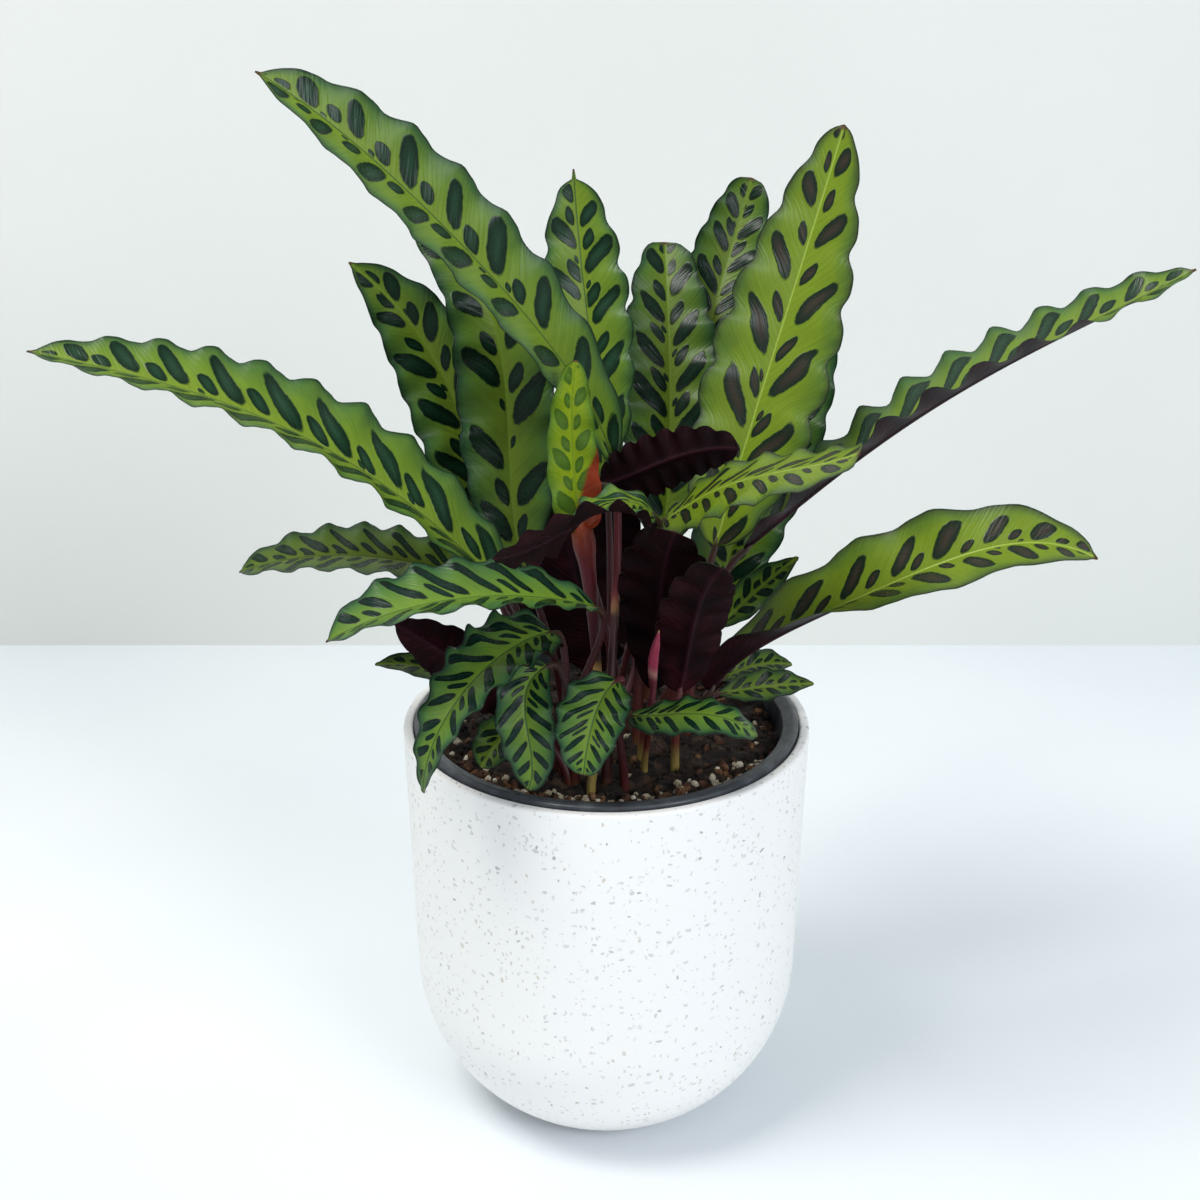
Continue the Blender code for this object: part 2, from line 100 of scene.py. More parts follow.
# Leaves, the same midribs, widths, turns and waves as the part's solids
FRONT = np.array([0.0, -0.91, 0.42])
UPRIGHT = (0.0, 0.0, 1.0)
NECK_HALF_WIDTH = 2.0
TIP_HALF_WIDTH = 0.4
WAVE_GROWTH = 1.6
WAVE_START = 0.25
FAR_MARGIN_SHIFT = 0.5
MARGIN_LEAD = 1.2
SOLID_THICKNESS = 1.2
SOLID_KEEL = 1.4
STALK_GIRTH = (2.4, 2.0, 1.7)
STALK_COLLAR = 2.5
STALK_STEPS = 5
NECK_END = 0.4
TUBE_START = np.array([0.31, -0.95, 0.05])
ROUTE_STEPS = 400
LEAST_ROWS = 10

# Finer build of the blades: columns crowd at the midrib and the margins, rows follow the waves
HALF_COLUMNS = np.array([0.03, 0.07, 0.13, 0.22, 0.33, 0.45, 0.57, 0.68, 0.77, 0.85, 0.91, 0.955, 0.985, 1.0])
COLUMNS = np.concatenate([-HALF_COLUMNS[::-1], [0.0], HALF_COLUMNS])
ROWS_PER_WAVE = 14
LEAST_FINE_ROWS = 48
BLADE_THICKNESS = 0.5
MARGIN_THINNING = (0.6, 4)
KEEL_HEIGHT = 1.2
KEEL_SPREAD = 1.1
KEEL_TAPER = 0.6
GROOVE_DEPTH = 0.35
GROOVE_SPREAD = 0.8
UNEVEN_WAVES = ((0.31, 0.12), (0.73, 0.07))
CRINKLE = (3.1, 0.010)
CRINKLE_GROWTH = 5
NOTCH = 0.25
FINE_SWELL = 0.04
LOBED = {5: 0.07, 6: 0.055, 8: 0.07, 13: 0.07, 14: 0.08, 15: 0.06, 28: 0.06}
FINE_RIPPLE = 0.75
RUFFLED = (9, 13, 14, 18)
NEEDLE_SHARE = 0.35
BLUNT_NEEDLE = 0.12
NEEDLE_HALF_WIDTH = 1.2
TIP_FULLNESS = 0.12
TIP_GROWTH = 8
BLUNT_TIPS = {1: -0.3, 2: -0.2, 3: -0.1, 6: 0.3, 7: 0.28, 8: 0.2, 10: -0.15, 12: 0.3, 17: -0.3, 21: 0.3}
MARK_LEAN = 0.95
MARK_LEANS = {1: 0.75, 8: 1.3, 12: 1.2}
LEAF_STRIDE = 64

Leaf = namedtuple("Leaf", "foot line half roll fold waves blunt peak crowd ruffle tail girth lean pull",
                  defaults=(0.55, 0.9, 1.0, 0.12, 0.03, STALK_GIRTH, UPRIGHT, 0.6))

LEAVES = {
    1: Leaf((0, -51),
            ((3, -6, 326), (-24, -24, 384), (-66, -42, 438), (-102, -56, 476), (-133, -66, 501)),
            22.5, (33, 33, 30), (22, 22), 8, 0.42, 1.2, 1.25, 0.1, girth=(2.6, 2.2, 2.0)),
    2: Leaf((-39, -12),
            ((-45, -26, 274), (-76, -34, 309), (-116, -42, 343), (-179, -50, 374), (-236, -52, 389)),
            28, (56, 56, 50), (22, 22), 10, 0.48, 0.8, 1.2, 0.1),
    3: Leaf((-34, 16), ((-54, 20, 270), (-68, 28, 341), (-90, 34, 381), (-115, 36, 406)),
            23, (10, 10), (15, 15), 8, 0.6),
    4: Leaf((-20, 8), ((-37, 6, 270), (-44, 12, 331), (-56, 24, 396), (-86, 36, 421)),
            23, (10, 0), (14, 14), 8),
    5: Leaf((2, 34), ((0, 38, 303), (-7, 48, 363), (-13, 62, 414), (-15, 66, 442)),
            20, (0, 10), (15, 15), 7, 0.45, 1.2, tail=0.1),
    6: Leaf((16, 22), ((26, 28, 276), (30, 52, 329), (29, 78, 376), (28, 98, 402)),
            24, (0, 0), (18, 18), 8, 0.45),
    7: Leaf((20, 36), ((44, 70, 317), (54, 96, 379), (64, 112, 409), (70, 118, 429)),
            20, (0, 0), (15, 15), 8, 0.42),
    8: Leaf((30, 8), ((50, 10, 281), (68, 20, 345), (86, 34, 403), (104, 44, 465)),
            27.5, (0, 0), (12, 12), 8, 0.6, 0.8, ruffle=0.08),
    9: Leaf((38, 1), ((64, 20, 276), (115, 16, 322), (167, 10, 361), (219, 6, 391), (253, 4, 410)),
            25, (-78, -76, -72, -50), (30, 20), 10, crowd=1.1),
    10: Leaf((32, -12),
             ((46, -28, 226), (84, -44, 265), (123, -56, 290), (159, -62, 307), (205, -64, 303)),
             24, (-98, -65, -35, -30), (40, 15), 5, 0.5, 0.9, 1.3, 0.09),
    11: Leaf((28, 30), ((55, 44, 229), (62, 54, 269), (80, 70, 317), (103, 88, 367)),
             25, (0, 0), (15, 15), 8, 0.45, 1.05),
    12: Leaf((14, -10), ((25, -18, 304), (41, -46, 325), (61, -74, 343), (80, -94, 354), (97, -108, 364)),
             20, (-52, -58), (-6, -6), 6, 0.42, 1.1, ruffle=0.1),
    13: Leaf((2, -6), ((21, -48, 316), (1, -72, 330), (-23, -98, 325), (-45, -112, 322)),
             20, (45, 60, 104, 114), (-20, 6), 8, 0.5, lean=(0.1, 0.15, 1.0), pull=0.3),
    14: Leaf((8, 4), ((-2, -12, 318), (14, -18, 326), (29, -20, 333), (43, -21, 337), (57, -23, 338)),
             13, (-165, -160), (10, 10), 8, 0.4, 0.75),
    15: Leaf((16, -24), ((21, -28, 226), (23, -38, 269), (25, -56, 300), (28, -66, 316)),
             19, (172, 176), (10, 10), 6, 0.38, 1.3),
    16: Leaf((-28, 1), ((-57, -6, 270), (-87, -16, 283), (-126, -24, 289), (-162, -26, 282)),
             18.5, (50, 52), (14, 14), 7, 0.5),
    17: Leaf((-22, -34), ((-5, -46, 274), (-35, -68, 288), (-76, -90, 293), (-114, -100, 281)),
             22, (57, 57), (18, 18), 7, 0.42, 1.2, ruffle=0.1),
    18: Leaf((-20, -42), ((-24, -48, 263), (-45, -76, 264), (-63, -98, 252), (-77, -100, 212)),
             18.5, (40, 35, 25), (15, 15), 8, 0.9, 0.55, ruffle=0.15),
    19: Leaf((-42.2, -10.2), ((-58, -10, 213), (-81, -12, 229), (-106, -12, 231)),
             9, (40, 40), (15, 15), 4, 0.8),
    20: Leaf((-14, -50), ((-26, -56, 250), (-35, -70, 242), (-33, -79, 224), (-34, -81, 203)),
             13, (10, 0), (15, 15), 5),
    21: Leaf((-7, -57), ((4, -62, 246), (-4, -76, 240), (-8, -86, 229), (-10, -92, 216)),
             16, (18, 18), (15, 15), 5),
    22: Leaf((-17, -49), ((-39, -44, 217), (-47, -56, 215), (-55, -64, 205)),
             11, (20, 20), (10, 10), 3, 0.5),
    23: Leaf((8, -55), ((10, -63, 230), (27, -74, 236), (44, -81, 239), (64, -81, 229)),
             12, (-50, -50), (-5, -5), 5, 0.5),
    24: Leaf((43, 9), ((54, 14, 204), (78, 12, 209), (98, 10, 211)),
             10, (-40, -40), (10, 10), 4, 0.8),
    25: Leaf((-3, -18), ((-11, -26, 302), (-14, -30, 326), (-15, -34, 350), (-13, -40, 382)),
             12, (0, 0), (28, 12), 5, 0.42, 0.62, girth=(2.2, 2.3, 3.6, 5.8)),
    27: Leaf((37, 22), ((53, 22, 235), (72, 20, 256), (89, 18, 272)),
             9, (-20, -20), (10, 10), 4, 0.8),
    28: Leaf((31, -35), ((32, -43, 232), (36, -58, 267), (40, -78, 294), (46, -94, 311)),
             15, (-170, -165), (10, 10), 6, 0.4),
    29: Leaf((44, 12), ((56, 30, 204), (74, 32, 211), (90, 34, 210)),
             10, (-40, -40), (10, 10), 4, 0.8),
    30: Leaf((-22, -22), ((-28, -26, 220), (-48, -32, 230), (-69, -36, 246), (-93, -38, 262)),
             15, (175, 175), (10, 10), 7, 0.5, 0.7),
    31: Leaf((6, 7), ((10, 38, 217), (-8, 46, 232), (-18, 52, 272), (-16, 56, 332)),
             34, (175, 175), (8, 8), 7, 0.4, ruffle=0.08),
}
TWIN_STALKS = {2: 19, 14: 31, 20: 22, 24: 29}
SHOOT_FOOT = (17, -41)
SHOOT_LINE = ((20, -52, 234), (20, -54, 243), (20, -57, 253), (21, -60, 262), (22, -63, 270))
SHOOT_RADII = (2.4, 2.4, 2.2, 2.0, 1.9, 1.8, 1.8, 2.8, 3.4, 2.6, 0.5)

# Large marks in each half of a blade, where it isn't the number of waves
MARKS = {1: 8, 2: 9, 3: 6, 4: 5, 5: 6, 6: 6.2, 7: 6.5, 8: 5.6, 10: 8, 12: 7, 16: 8, 17: 8, 18: 9, 20: 6.5,
         21: 6.5, 23: 7, 25: 4}
# Which green each blade has; the others have the bright one. The deep green is a darker copy, painted shade
# for the blades in shadow; blades 8, 10 and 12 lie in full light, their marks greyed brown as painted sheen
YOUNG = 25
LOOKS = {8: "sunlit_sheen", 10: "sunlit_sheen", 12: "sunlit_sheen", YOUNG: "young"}
LOOKS.update(dict.fromkeys((3, 4, 6, 7, 11, 19, 22, 24, 27, 29, 30, 31), "deep"))
LOOKS.update(dict.fromkeys((17, 18, 20, 21, 23), "striped"))

# Stalk tubes
STALK_ROWS = 56
STALK_SIDES = 18
JOINT_SWELL = 0.18
JOINT_SHARE = 0.12
SLIM = 0.86
SHOOT_SLIM = 0.68
NECK_OVERLAP = 4.0

# Loose bits on the mix: how a bit is cut, and how the bits lie
GRIT_FACETS = 5
GRIT_AROUND = 7
GRIT_ENDS = (0.12, 0.88)
GRIT_DENT = 0.24
GRIT_FLATNESS = 0.35
FOOT_CLEARANCE = 4.6
WALL_CLEARANCE = 2.0
SPARE_PLACES = 4
FRONT_BELT = 0.82
FRONT_SPREAD = 0.7
BITS_SEED = 11
LEAST_ROUND = 0.55
BITS_RISE = 0.25

# Colours of broken stuff: dark, middle and light, and its roughness
# The mix's own damp brown, darkened further as painted shade under the leaves
SOIL_COLOURS = ("#0B0706", "#20140D", "#443020", 0.9)
# How many bits, the share near the front, least and greatest half size, finish and colours
LOOSE_BITS = {
    "peat_clods": (900, 0.1, 0.7, 2.2, "peat_clod", ("#0E0907", "#20160F", "#3E3022", 0.92)),
    "bark_bits": (260, 0.5, 1.0, 2.8, "pine_bark", ("#26140C", "#563620", "#84603E", 0.85)),
    "pale_grit": (140, 0.8, 1.1, 2.7, "washed_grit", ("#94866C", "#C2B496", "#E8E0CC", 0.7)),
}

# Kinds of mark in a blade's half: shift of the cell, middle across, half length along the cell, half
# reach across, and how many of the cells have one
BLOTCHES = ((0.0, 0.45, 0.205, 0.36, 1.0), (0.5, 0.23, 0.155, 0.17, 0.92), (0.27, 0.09, 0.065, 0.06, 0.5))
SAUSAGES = ((0.0, 0.42, 0.2, 0.31, 1.0), (0.5, 0.2, 0.12, 0.13, 0.9), (0.27, 0.09, 0.06, 0.05, 0.4))
STRIPES = ((0.0, 0.5, 0.22, 0.42, 1.0), (0.5, 0.26, 0.13, 0.2, 0.6))
# How far chance moves a mark along and across, how it sizes one, the power that rounds its ends, and the
# distance that takes one away
MARK_MOVES = (0.12, 0.08)
MARK_SIZES = (0.86, 1.12)
MARK_ENDS = 3.0
MARK_ABSENT = 9.0
VEIN_CELLS = (16.0, 1.5, 0.0)

# Greens of the blades: kinds of mark, then the colours near the midrib, in the middle and near the margin,
# of a mark's middle, lighter than its rim as painted sheen, and of its rim, of the midrib's line, and of the
# blush where there is one
GREENS = {
    "bright": (BLOTCHES, "#768E28", "#648226", "#426834", "#20402A", "#0F2816", "#34582A"),
    # Blades in full light: the brown-grey middles of the marks are painted sheen
    "sunlit_sheen": (SAUSAGES, "#748C20", "#6E861E", "#4C6C2A", "#383228", "#16281A", "#9CB44A"),
    # A darker copy of the greens: painted shade for the blades in shadow
    "deep": (BLOTCHES, "#667E20", "#507022", "#2E5430", "#0F2C1A", "#061C0E", "#6A8A2C"),
    # The bluish tone near the margin is painted sheen, and the pale green by the midrib is partly painted
    # highlight
    "striped": (STRIPES, "#6C8A2A", "#527830", "#305C3A", "#0C2C20", "#061E12", "#2E5430"),
    "young": (BLOTCHES, "#98AE18", "#86A01C", "#6C9028", "#5A7C24", "#4A6C20", "#7A9A24", "#8C3218"),
}
DRIED_TIP = "#4E3A1E"

# Colours along the stalks, each with its share of the way up; the stalks not named have the first. Their dark
# reds are the stalks' own red-brown, deepened as painted shade of the plant's middle
STALK_COLOURS = {
    "stalk_red_brown": ((0.0, "#6E5A34"), (0.1, "#5A2C22"), (0.3, "#461A1E"), (0.8, "#3A151A"),
                        (1.0, "#3A2C1C")),
    "stalk_banded": ((0.0, "#6A4A30"), (0.08, "#3E1C1A"), (0.49, "#34161A"), (0.515, "#7A5A3C"),
                     (0.56, "#85583E"), (0.61, "#743432"), (0.66, "#5A1622"), (1.0, "#561E22")),
    # The near-black stretch from 0.5 to 0.62 of the way up is painted shadow, where the sheath lies in shade
    "stalk_sheath": ((0.0, "#A8944E"), (0.3, "#B4A052"), (0.42, "#A8844C"), (0.5, "#360C14"),
                     (0.62, "#440A16"), (0.78, "#580E1C"), (0.9, "#742618"), (1.0, "#8A381C")),
    "stalk_pale": ((0.0, "#A8964E"), (0.2, "#98844A"), (0.4, "#6E3A30"), (1.0, "#4C1C24")),
    "furled_pink": ((0.0, "#A8964E"), (0.15, "#6A302C"), (0.4, "#481820"), (0.66, "#5A1A26"),
                    (0.74, "#A07068"), (0.82, "#8E2844"), (0.97, "#8A2440"), (1.0, "#A08048")),
}
STALK_LOOKS = {1: "stalk_banded", 15: "stalk_pale", 21: "stalk_pale", 25: "stalk_sheath", 28: "stalk_pale"}

# Stone chips of the cover pot: cells per metre across, along and up, and the chips' tints by chance; the
# greatest share of a cell that a chip takes, how many cells hold one, and how far their outlines are bent
CHIP_BEDS = (
    ((240.0, 240.0, 400.0), ((0.0, "#E8E9E6"), (0.5, "#DEE0DE"), (0.93, "#D0D3D1"), (0.985, "#B0B5B4"))),
    ((420.0, 420.0, 250.0), ((0.0, "#E9E9E6"), (0.6, "#DFE0DC"), (0.95, "#D8D0C2"), (0.99, "#A6ACAB"))),
)
CHIP_REACH = 0.33
CHIP_SHARE = 0.7
CHIP_BEND = 3.0
CEMENT_WHITE = "#FAFAF7"

# What the finishes share: an eased change, and the span that noise mostly fills
EASED = {"interpolation_type": "SMOOTHSTEP"}
NOISE_SPAN = (0.3, 0.7)

# Room: the table's back edge and the wall behind it
TABLE_BACK = 532.0
ROOM_HALF_WIDTH = 3000.0
ROOM_FRONT = -3000.0
WALL_BOTTOM = -300.0
WALL_HEIGHT = 2600.0

# Light: the room's own, then each soft box with its place and size in metres, its power and its colour
SKY = {"Color": "#F1F6FF", "Strength": 0.42}
SOFT_LIGHTS = (
    ("key", (-0.8, -0.5, 2.1), 0.8, 29.0, "#FFFDF8"),
    ("fill", (1.3, -1.6, 1.3), 1.0, 21.0, "#F4F8FF"),
)
LIT_MIDDLE = (0.0, 0.0, 0.25)

# Camera, from the fit of both rims and the cover pot's outline
CAMERA_PLACE = (-3.0, -804.0, 591.0)
CAMERA_PITCH = 67.5
CAMERA_LENS = 57.0
CAMERA_SENSOR = 36.0


def unit(vectors):
    """The same directions at length one."""
    return vectors / np.linalg.norm(vectors, axis=-1, keepdims=True)


def square_to(ways, fixed):
    """A fixed direction, turned as little as it takes to stand square to each of these."""
    return unit(fixed - (ways @ fixed)[:, None] * ways)


def walked_along(line):
    """How far along a line each of its points lies."""
    return np.concatenate([[0], np.cumsum(np.linalg.norm(np.diff(line, axis=0), axis=1))])


def linear(code):
    """An sRGB hex colour as linear red, green and blue, with full alpha."""
    value = np.array([int(code[i:i + 2], 16) for i in (1, 3, 5)]) / 255
    bent = ((value + 0.055) / 1.055) ** 2.4
    return (*np.where(value <= 0.04045, value / 12.92, bent).tolist(), 1.0)


# Meshes

Skin = namedtuple("Skin", "points quads caps looks maps")


def ring_skin(rings, looks=None, maps=None, cap_look=0):
    """A closed skin over rings of points, an array of (rings, around, 3).

    Each ring is joined to the next by a band of quads, and the first and the last ring are closed by one
    face each. looks gives a material number for each column of quads. maps gives, for each UV map, the
    values at the near and at the far side of every quad, each an array of (rings, around, 2).
    """
    count, around = rings.shape[:2]
    near = np.arange(count * around).reshape(count, around)
    far = np.roll(near, -1, axis=1)
    quads = np.stack([near[:-1], far[:-1], far[1:], near[1:]], -1).reshape(-1, 4)
    looks = np.zeros(around, int) if looks is None else np.asarray(looks)
    looks = np.tile(looks, count - 1)
    corners = {}
    for name, (here, there) in (maps or {}).items():
        corners[name] = np.stack([here[:-1], there[:-1], there[1:], here[1:]], 2).reshape(-1, 4, 2)
    points = rings.reshape(-1, 3)
    caps = [near[0][::-1], near[-1]]
    a, b, c, d = (points[quads[:, i]] for i in range(4))
    volume = (np.cross(a, b) * c).sum() + (np.cross(a, c) * d).sum()
    if volume < 0:
        quads = quads[:, ::-1]
        caps = [cap[::-1] for cap in caps]
        corners = {name: values[:, ::-1] for name, values in corners.items()}
    return Skin(points, quads, [(cap, cap_look) for cap in caps], looks, corners)


def placed(name, data):
    """A new object with this data, in the scene."""
    made = bpy.data.objects.new(name, data)
    bpy.context.scene.collection.objects.link(made)
    return made


def mesh_piece(name, skins, materials, smooth=True):
    """One object from one or more skins, in metres, at the origin. Face by face: all quads, then all caps."""
    shift = np.cumsum([0] + [len(skin.points) for skin in skins])
    points = np.concatenate([skin.points for skin in skins]) * MM
    quads = np.concatenate([skin.quads + start for skin, start in zip(skins, shift)])
    caps = [(cap + start, look) for skin, start in zip(skins, shift) for cap, look in skin.caps]
    corners = np.concatenate([quads.ravel()] + [cap for cap, look in caps])
    totals = np.concatenate([np.full(len(quads), 4), [len(cap) for cap, look in caps]]).astype(int)
    looks = np.concatenate([skin.looks for skin in skins] + [[look for cap, look in caps]])
    mesh = bpy.data.meshes.new(name)
    mesh.vertices.add(len(points))
    mesh.vertices.foreach_set("co", points.ravel())
    mesh.loops.add(len(corners))
    mesh.loops.foreach_set("vertex_index", corners.astype(np.int32))
    mesh.polygons.add(len(totals))
    mesh.polygons.foreach_set("loop_start", np.concatenate([[0], np.cumsum(totals)[:-1]]).astype(np.int32))
    mesh.polygons.foreach_set("loop_total", totals.astype(np.int32))
    for look in materials:
        mesh.materials.append(look)
    mesh.update(calc_edges=True)
    mesh.polygons.foreach_set("material_index", looks.astype(np.int32))
    mesh.polygons.foreach_set("use_smooth", np.full(len(totals), smooth))
    for layer in skins[0].maps:
        values = np.zeros((len(corners), 2))
        values[:quads.size] = np.concatenate([skin.maps[layer] for skin in skins]).reshape(-1, 2)
        mesh.uv_layers.new(name=layer).data.foreach_set("uv", values.ravel())
    mesh.update()
    return placed(name, mesh)


def stands_for(piece, slot, *nodes):
    """The piece rides on the only body and takes the place of these nodes."""
    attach(piece, "root")
    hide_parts(*nodes)


# Shapes of the leaves

def curve(line, share):
    """The smooth curve through a few points (Lagrange), each met at its share of the length between them."""
    line = np.asarray(line, float)
    knots = walked_along(line)
    knots /= knots[-1]
    result = np.zeros((len(share), 3))
    for i, point in enumerate(line):
        others = np.delete(knots, i)
        weight = np.prod((share[:, None] - others) / (knots[i] - others), axis=1)
        result += weight[:, None] * point
    return result


def midrib(leaf, share):
    """Points at these shares of the midrib's length, its direction there, and its whole length."""
    fine = curve(leaf.line, np.linspace(0, 1, ROUTE_STEPS))
    walked = walked_along(fine)
    at = share * walked[-1]
    ways = unit(np.gradient(fine, axis=0))
    points = np.stack([np.interp(at, walked, fine[:, axis]) for axis in range(3)], -1)
    ways = unit(np.stack([np.interp(at, walked, ways[:, axis]) for axis in range(3)], -1))
    return points, ways, walked[-1]


def half_width(number, leaf, share):
    """Half the blade's width along its length: a sine arch, made fuller or moved by powers, fullest toward
    the tip, then a short needle."""
    needle = leaf.tail * (BLUNT_NEEDLE if BLUNT_TIPS.get(number, 0) > 0 else NEEDLE_SHARE)
    body = (share / (1 - needle)).clip(0, 1)
    blunt = leaf.blunt * (1 - BLUNT_TIPS.get(number, TIP_FULLNESS) * share ** TIP_GROWTH)
    arch = np.sin(np.pi * body ** leaf.peak).clip(0) ** blunt
    tail = np.interp(share, (1 - needle, 1), (NEEDLE_HALF_WIDTH, TIP_HALF_WIDTH))
    return np.maximum(leaf.half * arch, np.where(share < 0.5, NECK_HALF_WIDTH, tail))


def blade_frame(leaf, share):
    """Middle, direction, facing (out of the top face) and outward side of a blade at these shares."""
    middle, way, length = midrib(leaf, share)
    front = square_to(way, FRONT)
    side = np.cross(way, front)
    roll = np.radians(np.interp(share, np.linspace(0, 1, len(leaf.roll)), leaf.roll))[:, None]
    facing = front * np.cos(roll) + side * np.sin(roll)
    out = side * np.cos(roll) - front * np.sin(roll)
    return middle, way, facing, out, length


def blade_maps(number, leaf, width, length, s):
    """UV maps of a blade: marks (cell along, share across), edge (along, distance in from the margin) and rib
    (distance from the midrib with its side's sign, share along), the distances in millimetres."""
    ring_u = np.concatenate([COLUMNS, COLUMNS[::-1]])
    next_u = np.roll(ring_u, -1)
    right = (ring_u + next_u) > 0
    marks = MARKS.get(number, leaf.waves)
    lean = MARK_LEANS.get(number, MARK_LEAN) * marks / length
    maps = {"marks": [], "edge": [], "rib": []}
    for values in (ring_u, next_u):
        v = np.abs(values)[None, :]
        cell = marks * s ** leaf.crowd - lean * v * width + 0.5 * right + LEAF_STRIDE * number
        inward = np.minimum((1 - v) * width, length * (1 - s))
        maps["marks"].append(np.stack([cell, v + 0 * s], -1))
        maps["edge"].append(np.stack([length * s + 0 * v, inward], -1))
        maps["rib"].append(np.stack([values[None, :] * width, s + 0 * v], -1))
    return maps


def blade_skin(number, leaf):
    """A thin closed blade.

    The top face is the part's: middle + out * u * width * cos(fold) + facing * (|u| * width * sin(fold) +
    ripple), with a ripple that grows toward the margin as |u| to a power. Added here: waves of uneven
    height, lobes with narrow notches between them, a fine crinkle at the margin, a groove over the midrib
    and a rounded keel under it.
    """
    rows = max(LEAST_FINE_ROWS, ROWS_PER_WAVE * leaf.waves)
    share = np.linspace(0, 1, rows + 1)
    middle, _, facing, out, length = blade_frame(leaf, share)
    dice = np.random.default_rng(number)
    s = share[:, None]
    u = COLUMNS[None, :]
    reach = np.abs(u)
    width = half_width(number, leaf, share)[:, None]
    phase = leaf.waves * s ** leaf.crowd
    turns = FULL_TURN * (phase + WAVE_START + np.where(u > 0, FAR_MARGIN_SHIFT, 0.0))
    uneven = 1.0
    for pace, amount in UNEVEN_WAVES:
        starts = np.where(u > 0, *dice.uniform(0, 1, 2))
        uneven = uneven + amount * np.sin(FULL_TURN * (pace * phase + starts))
    ruffle = leaf.ruffle * (1.0 if number in RUFFLED else FINE_RIPPLE)
    ripple = ruffle * width * reach ** WAVE_GROWTH * np.sin(turns) * uneven
    pace, amount = CRINKLE
    starts = np.where(u > 0, *dice.uniform(0, 1, 2))
    ripple = ripple + amount * width * reach ** CRINKLE_GROWTH * np.sin(FULL_TURN * (pace * phase + starts))
    lobes = np.sin(turns + MARGIN_LEAD) + NOTCH * np.cos(2 * (turns + MARGIN_LEAD))
    spread = width * (1 + LOBED.get(number, FINE_SWELL) * uneven * lobes)
    fold = np.radians(leaf.fold[0] + (leaf.fold[1] - leaf.fold[0]) * s)
    sideways = u * spread * np.cos(fold)
    upward = reach * spread * np.sin(fold) + ripple
    from_rib = reach * width
    groove = GROOVE_DEPTH * np.exp(-(from_rib / GROOVE_SPREAD) ** 2) * (1 - s)
    keel = KEEL_HEIGHT * np.exp(-(from_rib / KEEL_SPREAD) ** 2) * (1 - s) ** KEEL_TAPER
    thinning, growth = MARGIN_THINNING
    thick = BLADE_THICKNESS * (1 - thinning * reach ** growth)
    across = middle[:, None] + out[:, None] * sideways[..., None]
    top = across + facing[:, None] * (upward - groove)[..., None]
    under = across + facing[:, None] * (upward - thick - keel)[..., None]
    rings = np.concatenate([top, under[:, ::-1]], axis=1)
    looks = np.where(np.arange(2 * len(COLUMNS)) < len(COLUMNS), 0, 1)
    return ring_skin(rings, looks, blade_maps(number, leaf, width, length, s), cap_look=1)


def bend(begin, start, end, finish, t):
    """The smooth cubic (Hermite) from one point to another, with its direction given at both."""
    t = t[:, None]
    return ((2 * t ** 3 - 3 * t ** 2 + 1) * begin + (t ** 3 - 2 * t ** 2 + t) * start
            + (3 * t ** 2 - 2 * t ** 3) * end + (t ** 3 - t ** 2) * finish)


def stalk_line(leaf):
    """Points from under the mix to just past the neck, where the stalk runs on into the blade's keel."""
    foot = np.array([*leaf.foot, SOIL_LEVEL], float)
    middle, way, facing = blade_frame(leaf, np.linspace(0, 1, LEAST_ROWS + 1))[:3]
    neck = middle[0] - facing[0] * (SOLID_THICKNESS + SOLID_KEEL) / 2
    span = np.linalg.norm(neck - foot)
    t = np.linspace(0, 1, STALK_ROWS)
    route = bend(foot, unit(np.array(leaf.lean)) * span, neck - way[0] * STALK_COLLAR,
                 way[0] * span * leaf.pull, t)
    end = neck + way[0] * NECK_OVERLAP + facing[0] * (SOLID_KEEL - BLADE_THICKNESS) / 2
    return np.concatenate([[foot - (0, 0, SOIL_DEPTH / 2)], route, [neck, end]])


def tube_skin(line, radii):
    """A round tube along a line: at each point a circle square to the line, and the ends closed."""
    way = unit(np.gradient(line, axis=0))
    first = square_to(way, TUBE_START)
    second = np.cross(way, first)
    angle = (np.arange(STALK_SIDES) * FULL_TURN / STALK_SIDES)[None, :, None]
    circles = np.cos(angle) * first[:, None] + np.sin(angle) * second[:, None]
    rings = line[:, None] + np.asarray(radii)[:, None, None] * circles
    walked = walked_along(line)
    share = (walked / walked[-1])[:, None]
    here = np.broadcast_to(np.arange(STALK_SIDES) / STALK_SIDES, (len(line), STALK_SIDES))
    maps = {"along": [np.stack([here + step / STALK_SIDES, share + 0 * here], -1) for step in (0, 1)]}
    return ring_skin(rings, None, maps)


def stalk_skin(leaf):
    """A leaf stalk: round, with a slightly swollen joint below the blade."""
    line = stalk_line(leaf)
    share = np.linspace(0, 1, len(line))
    radii = np.interp(share, np.linspace(0, 1, len(leaf.girth)), leaf.girth)
    radii *= SLIM * (1 + JOINT_SWELL * np.exp(-((share - 1 + JOINT_SHARE) / (JOINT_SHARE / 2)) ** 2))
    radii[-1] *= NECK_END
    return tube_skin(line, radii)


def shoot_skin():
    """The furled leaf tip: a spindle that swells above its stalk and ends in a point."""
    foot = np.array([*SHOOT_FOOT, SOIL_LEVEL], float)
    line = np.array(SHOOT_LINE, float)
    span = np.linalg.norm(line[0] - foot)
    stem = bend(foot, np.array(UPRIGHT) * span, line[0], unit(line[1] - line[0]) * span,
                np.linspace(0, 1, STALK_ROWS))
    upper = curve(line, np.linspace(0, 1, STALK_ROWS))[1:]
    route = np.concatenate([stem, upper])
    walked = walked_along(route)
    knots = np.linspace(0, STALK_STEPS, STALK_STEPS + 1) / STALK_STEPS * walked[STALK_ROWS - 1]
    chords = walked_along(line)[1:] + walked[STALK_ROWS - 1]
    radii = SHOOT_SLIM * np.interp(walked, np.concatenate([knots, chords]), SHOOT_RADII[1:])
    return tube_skin(route, radii)


# Shapes of the pots and the mix

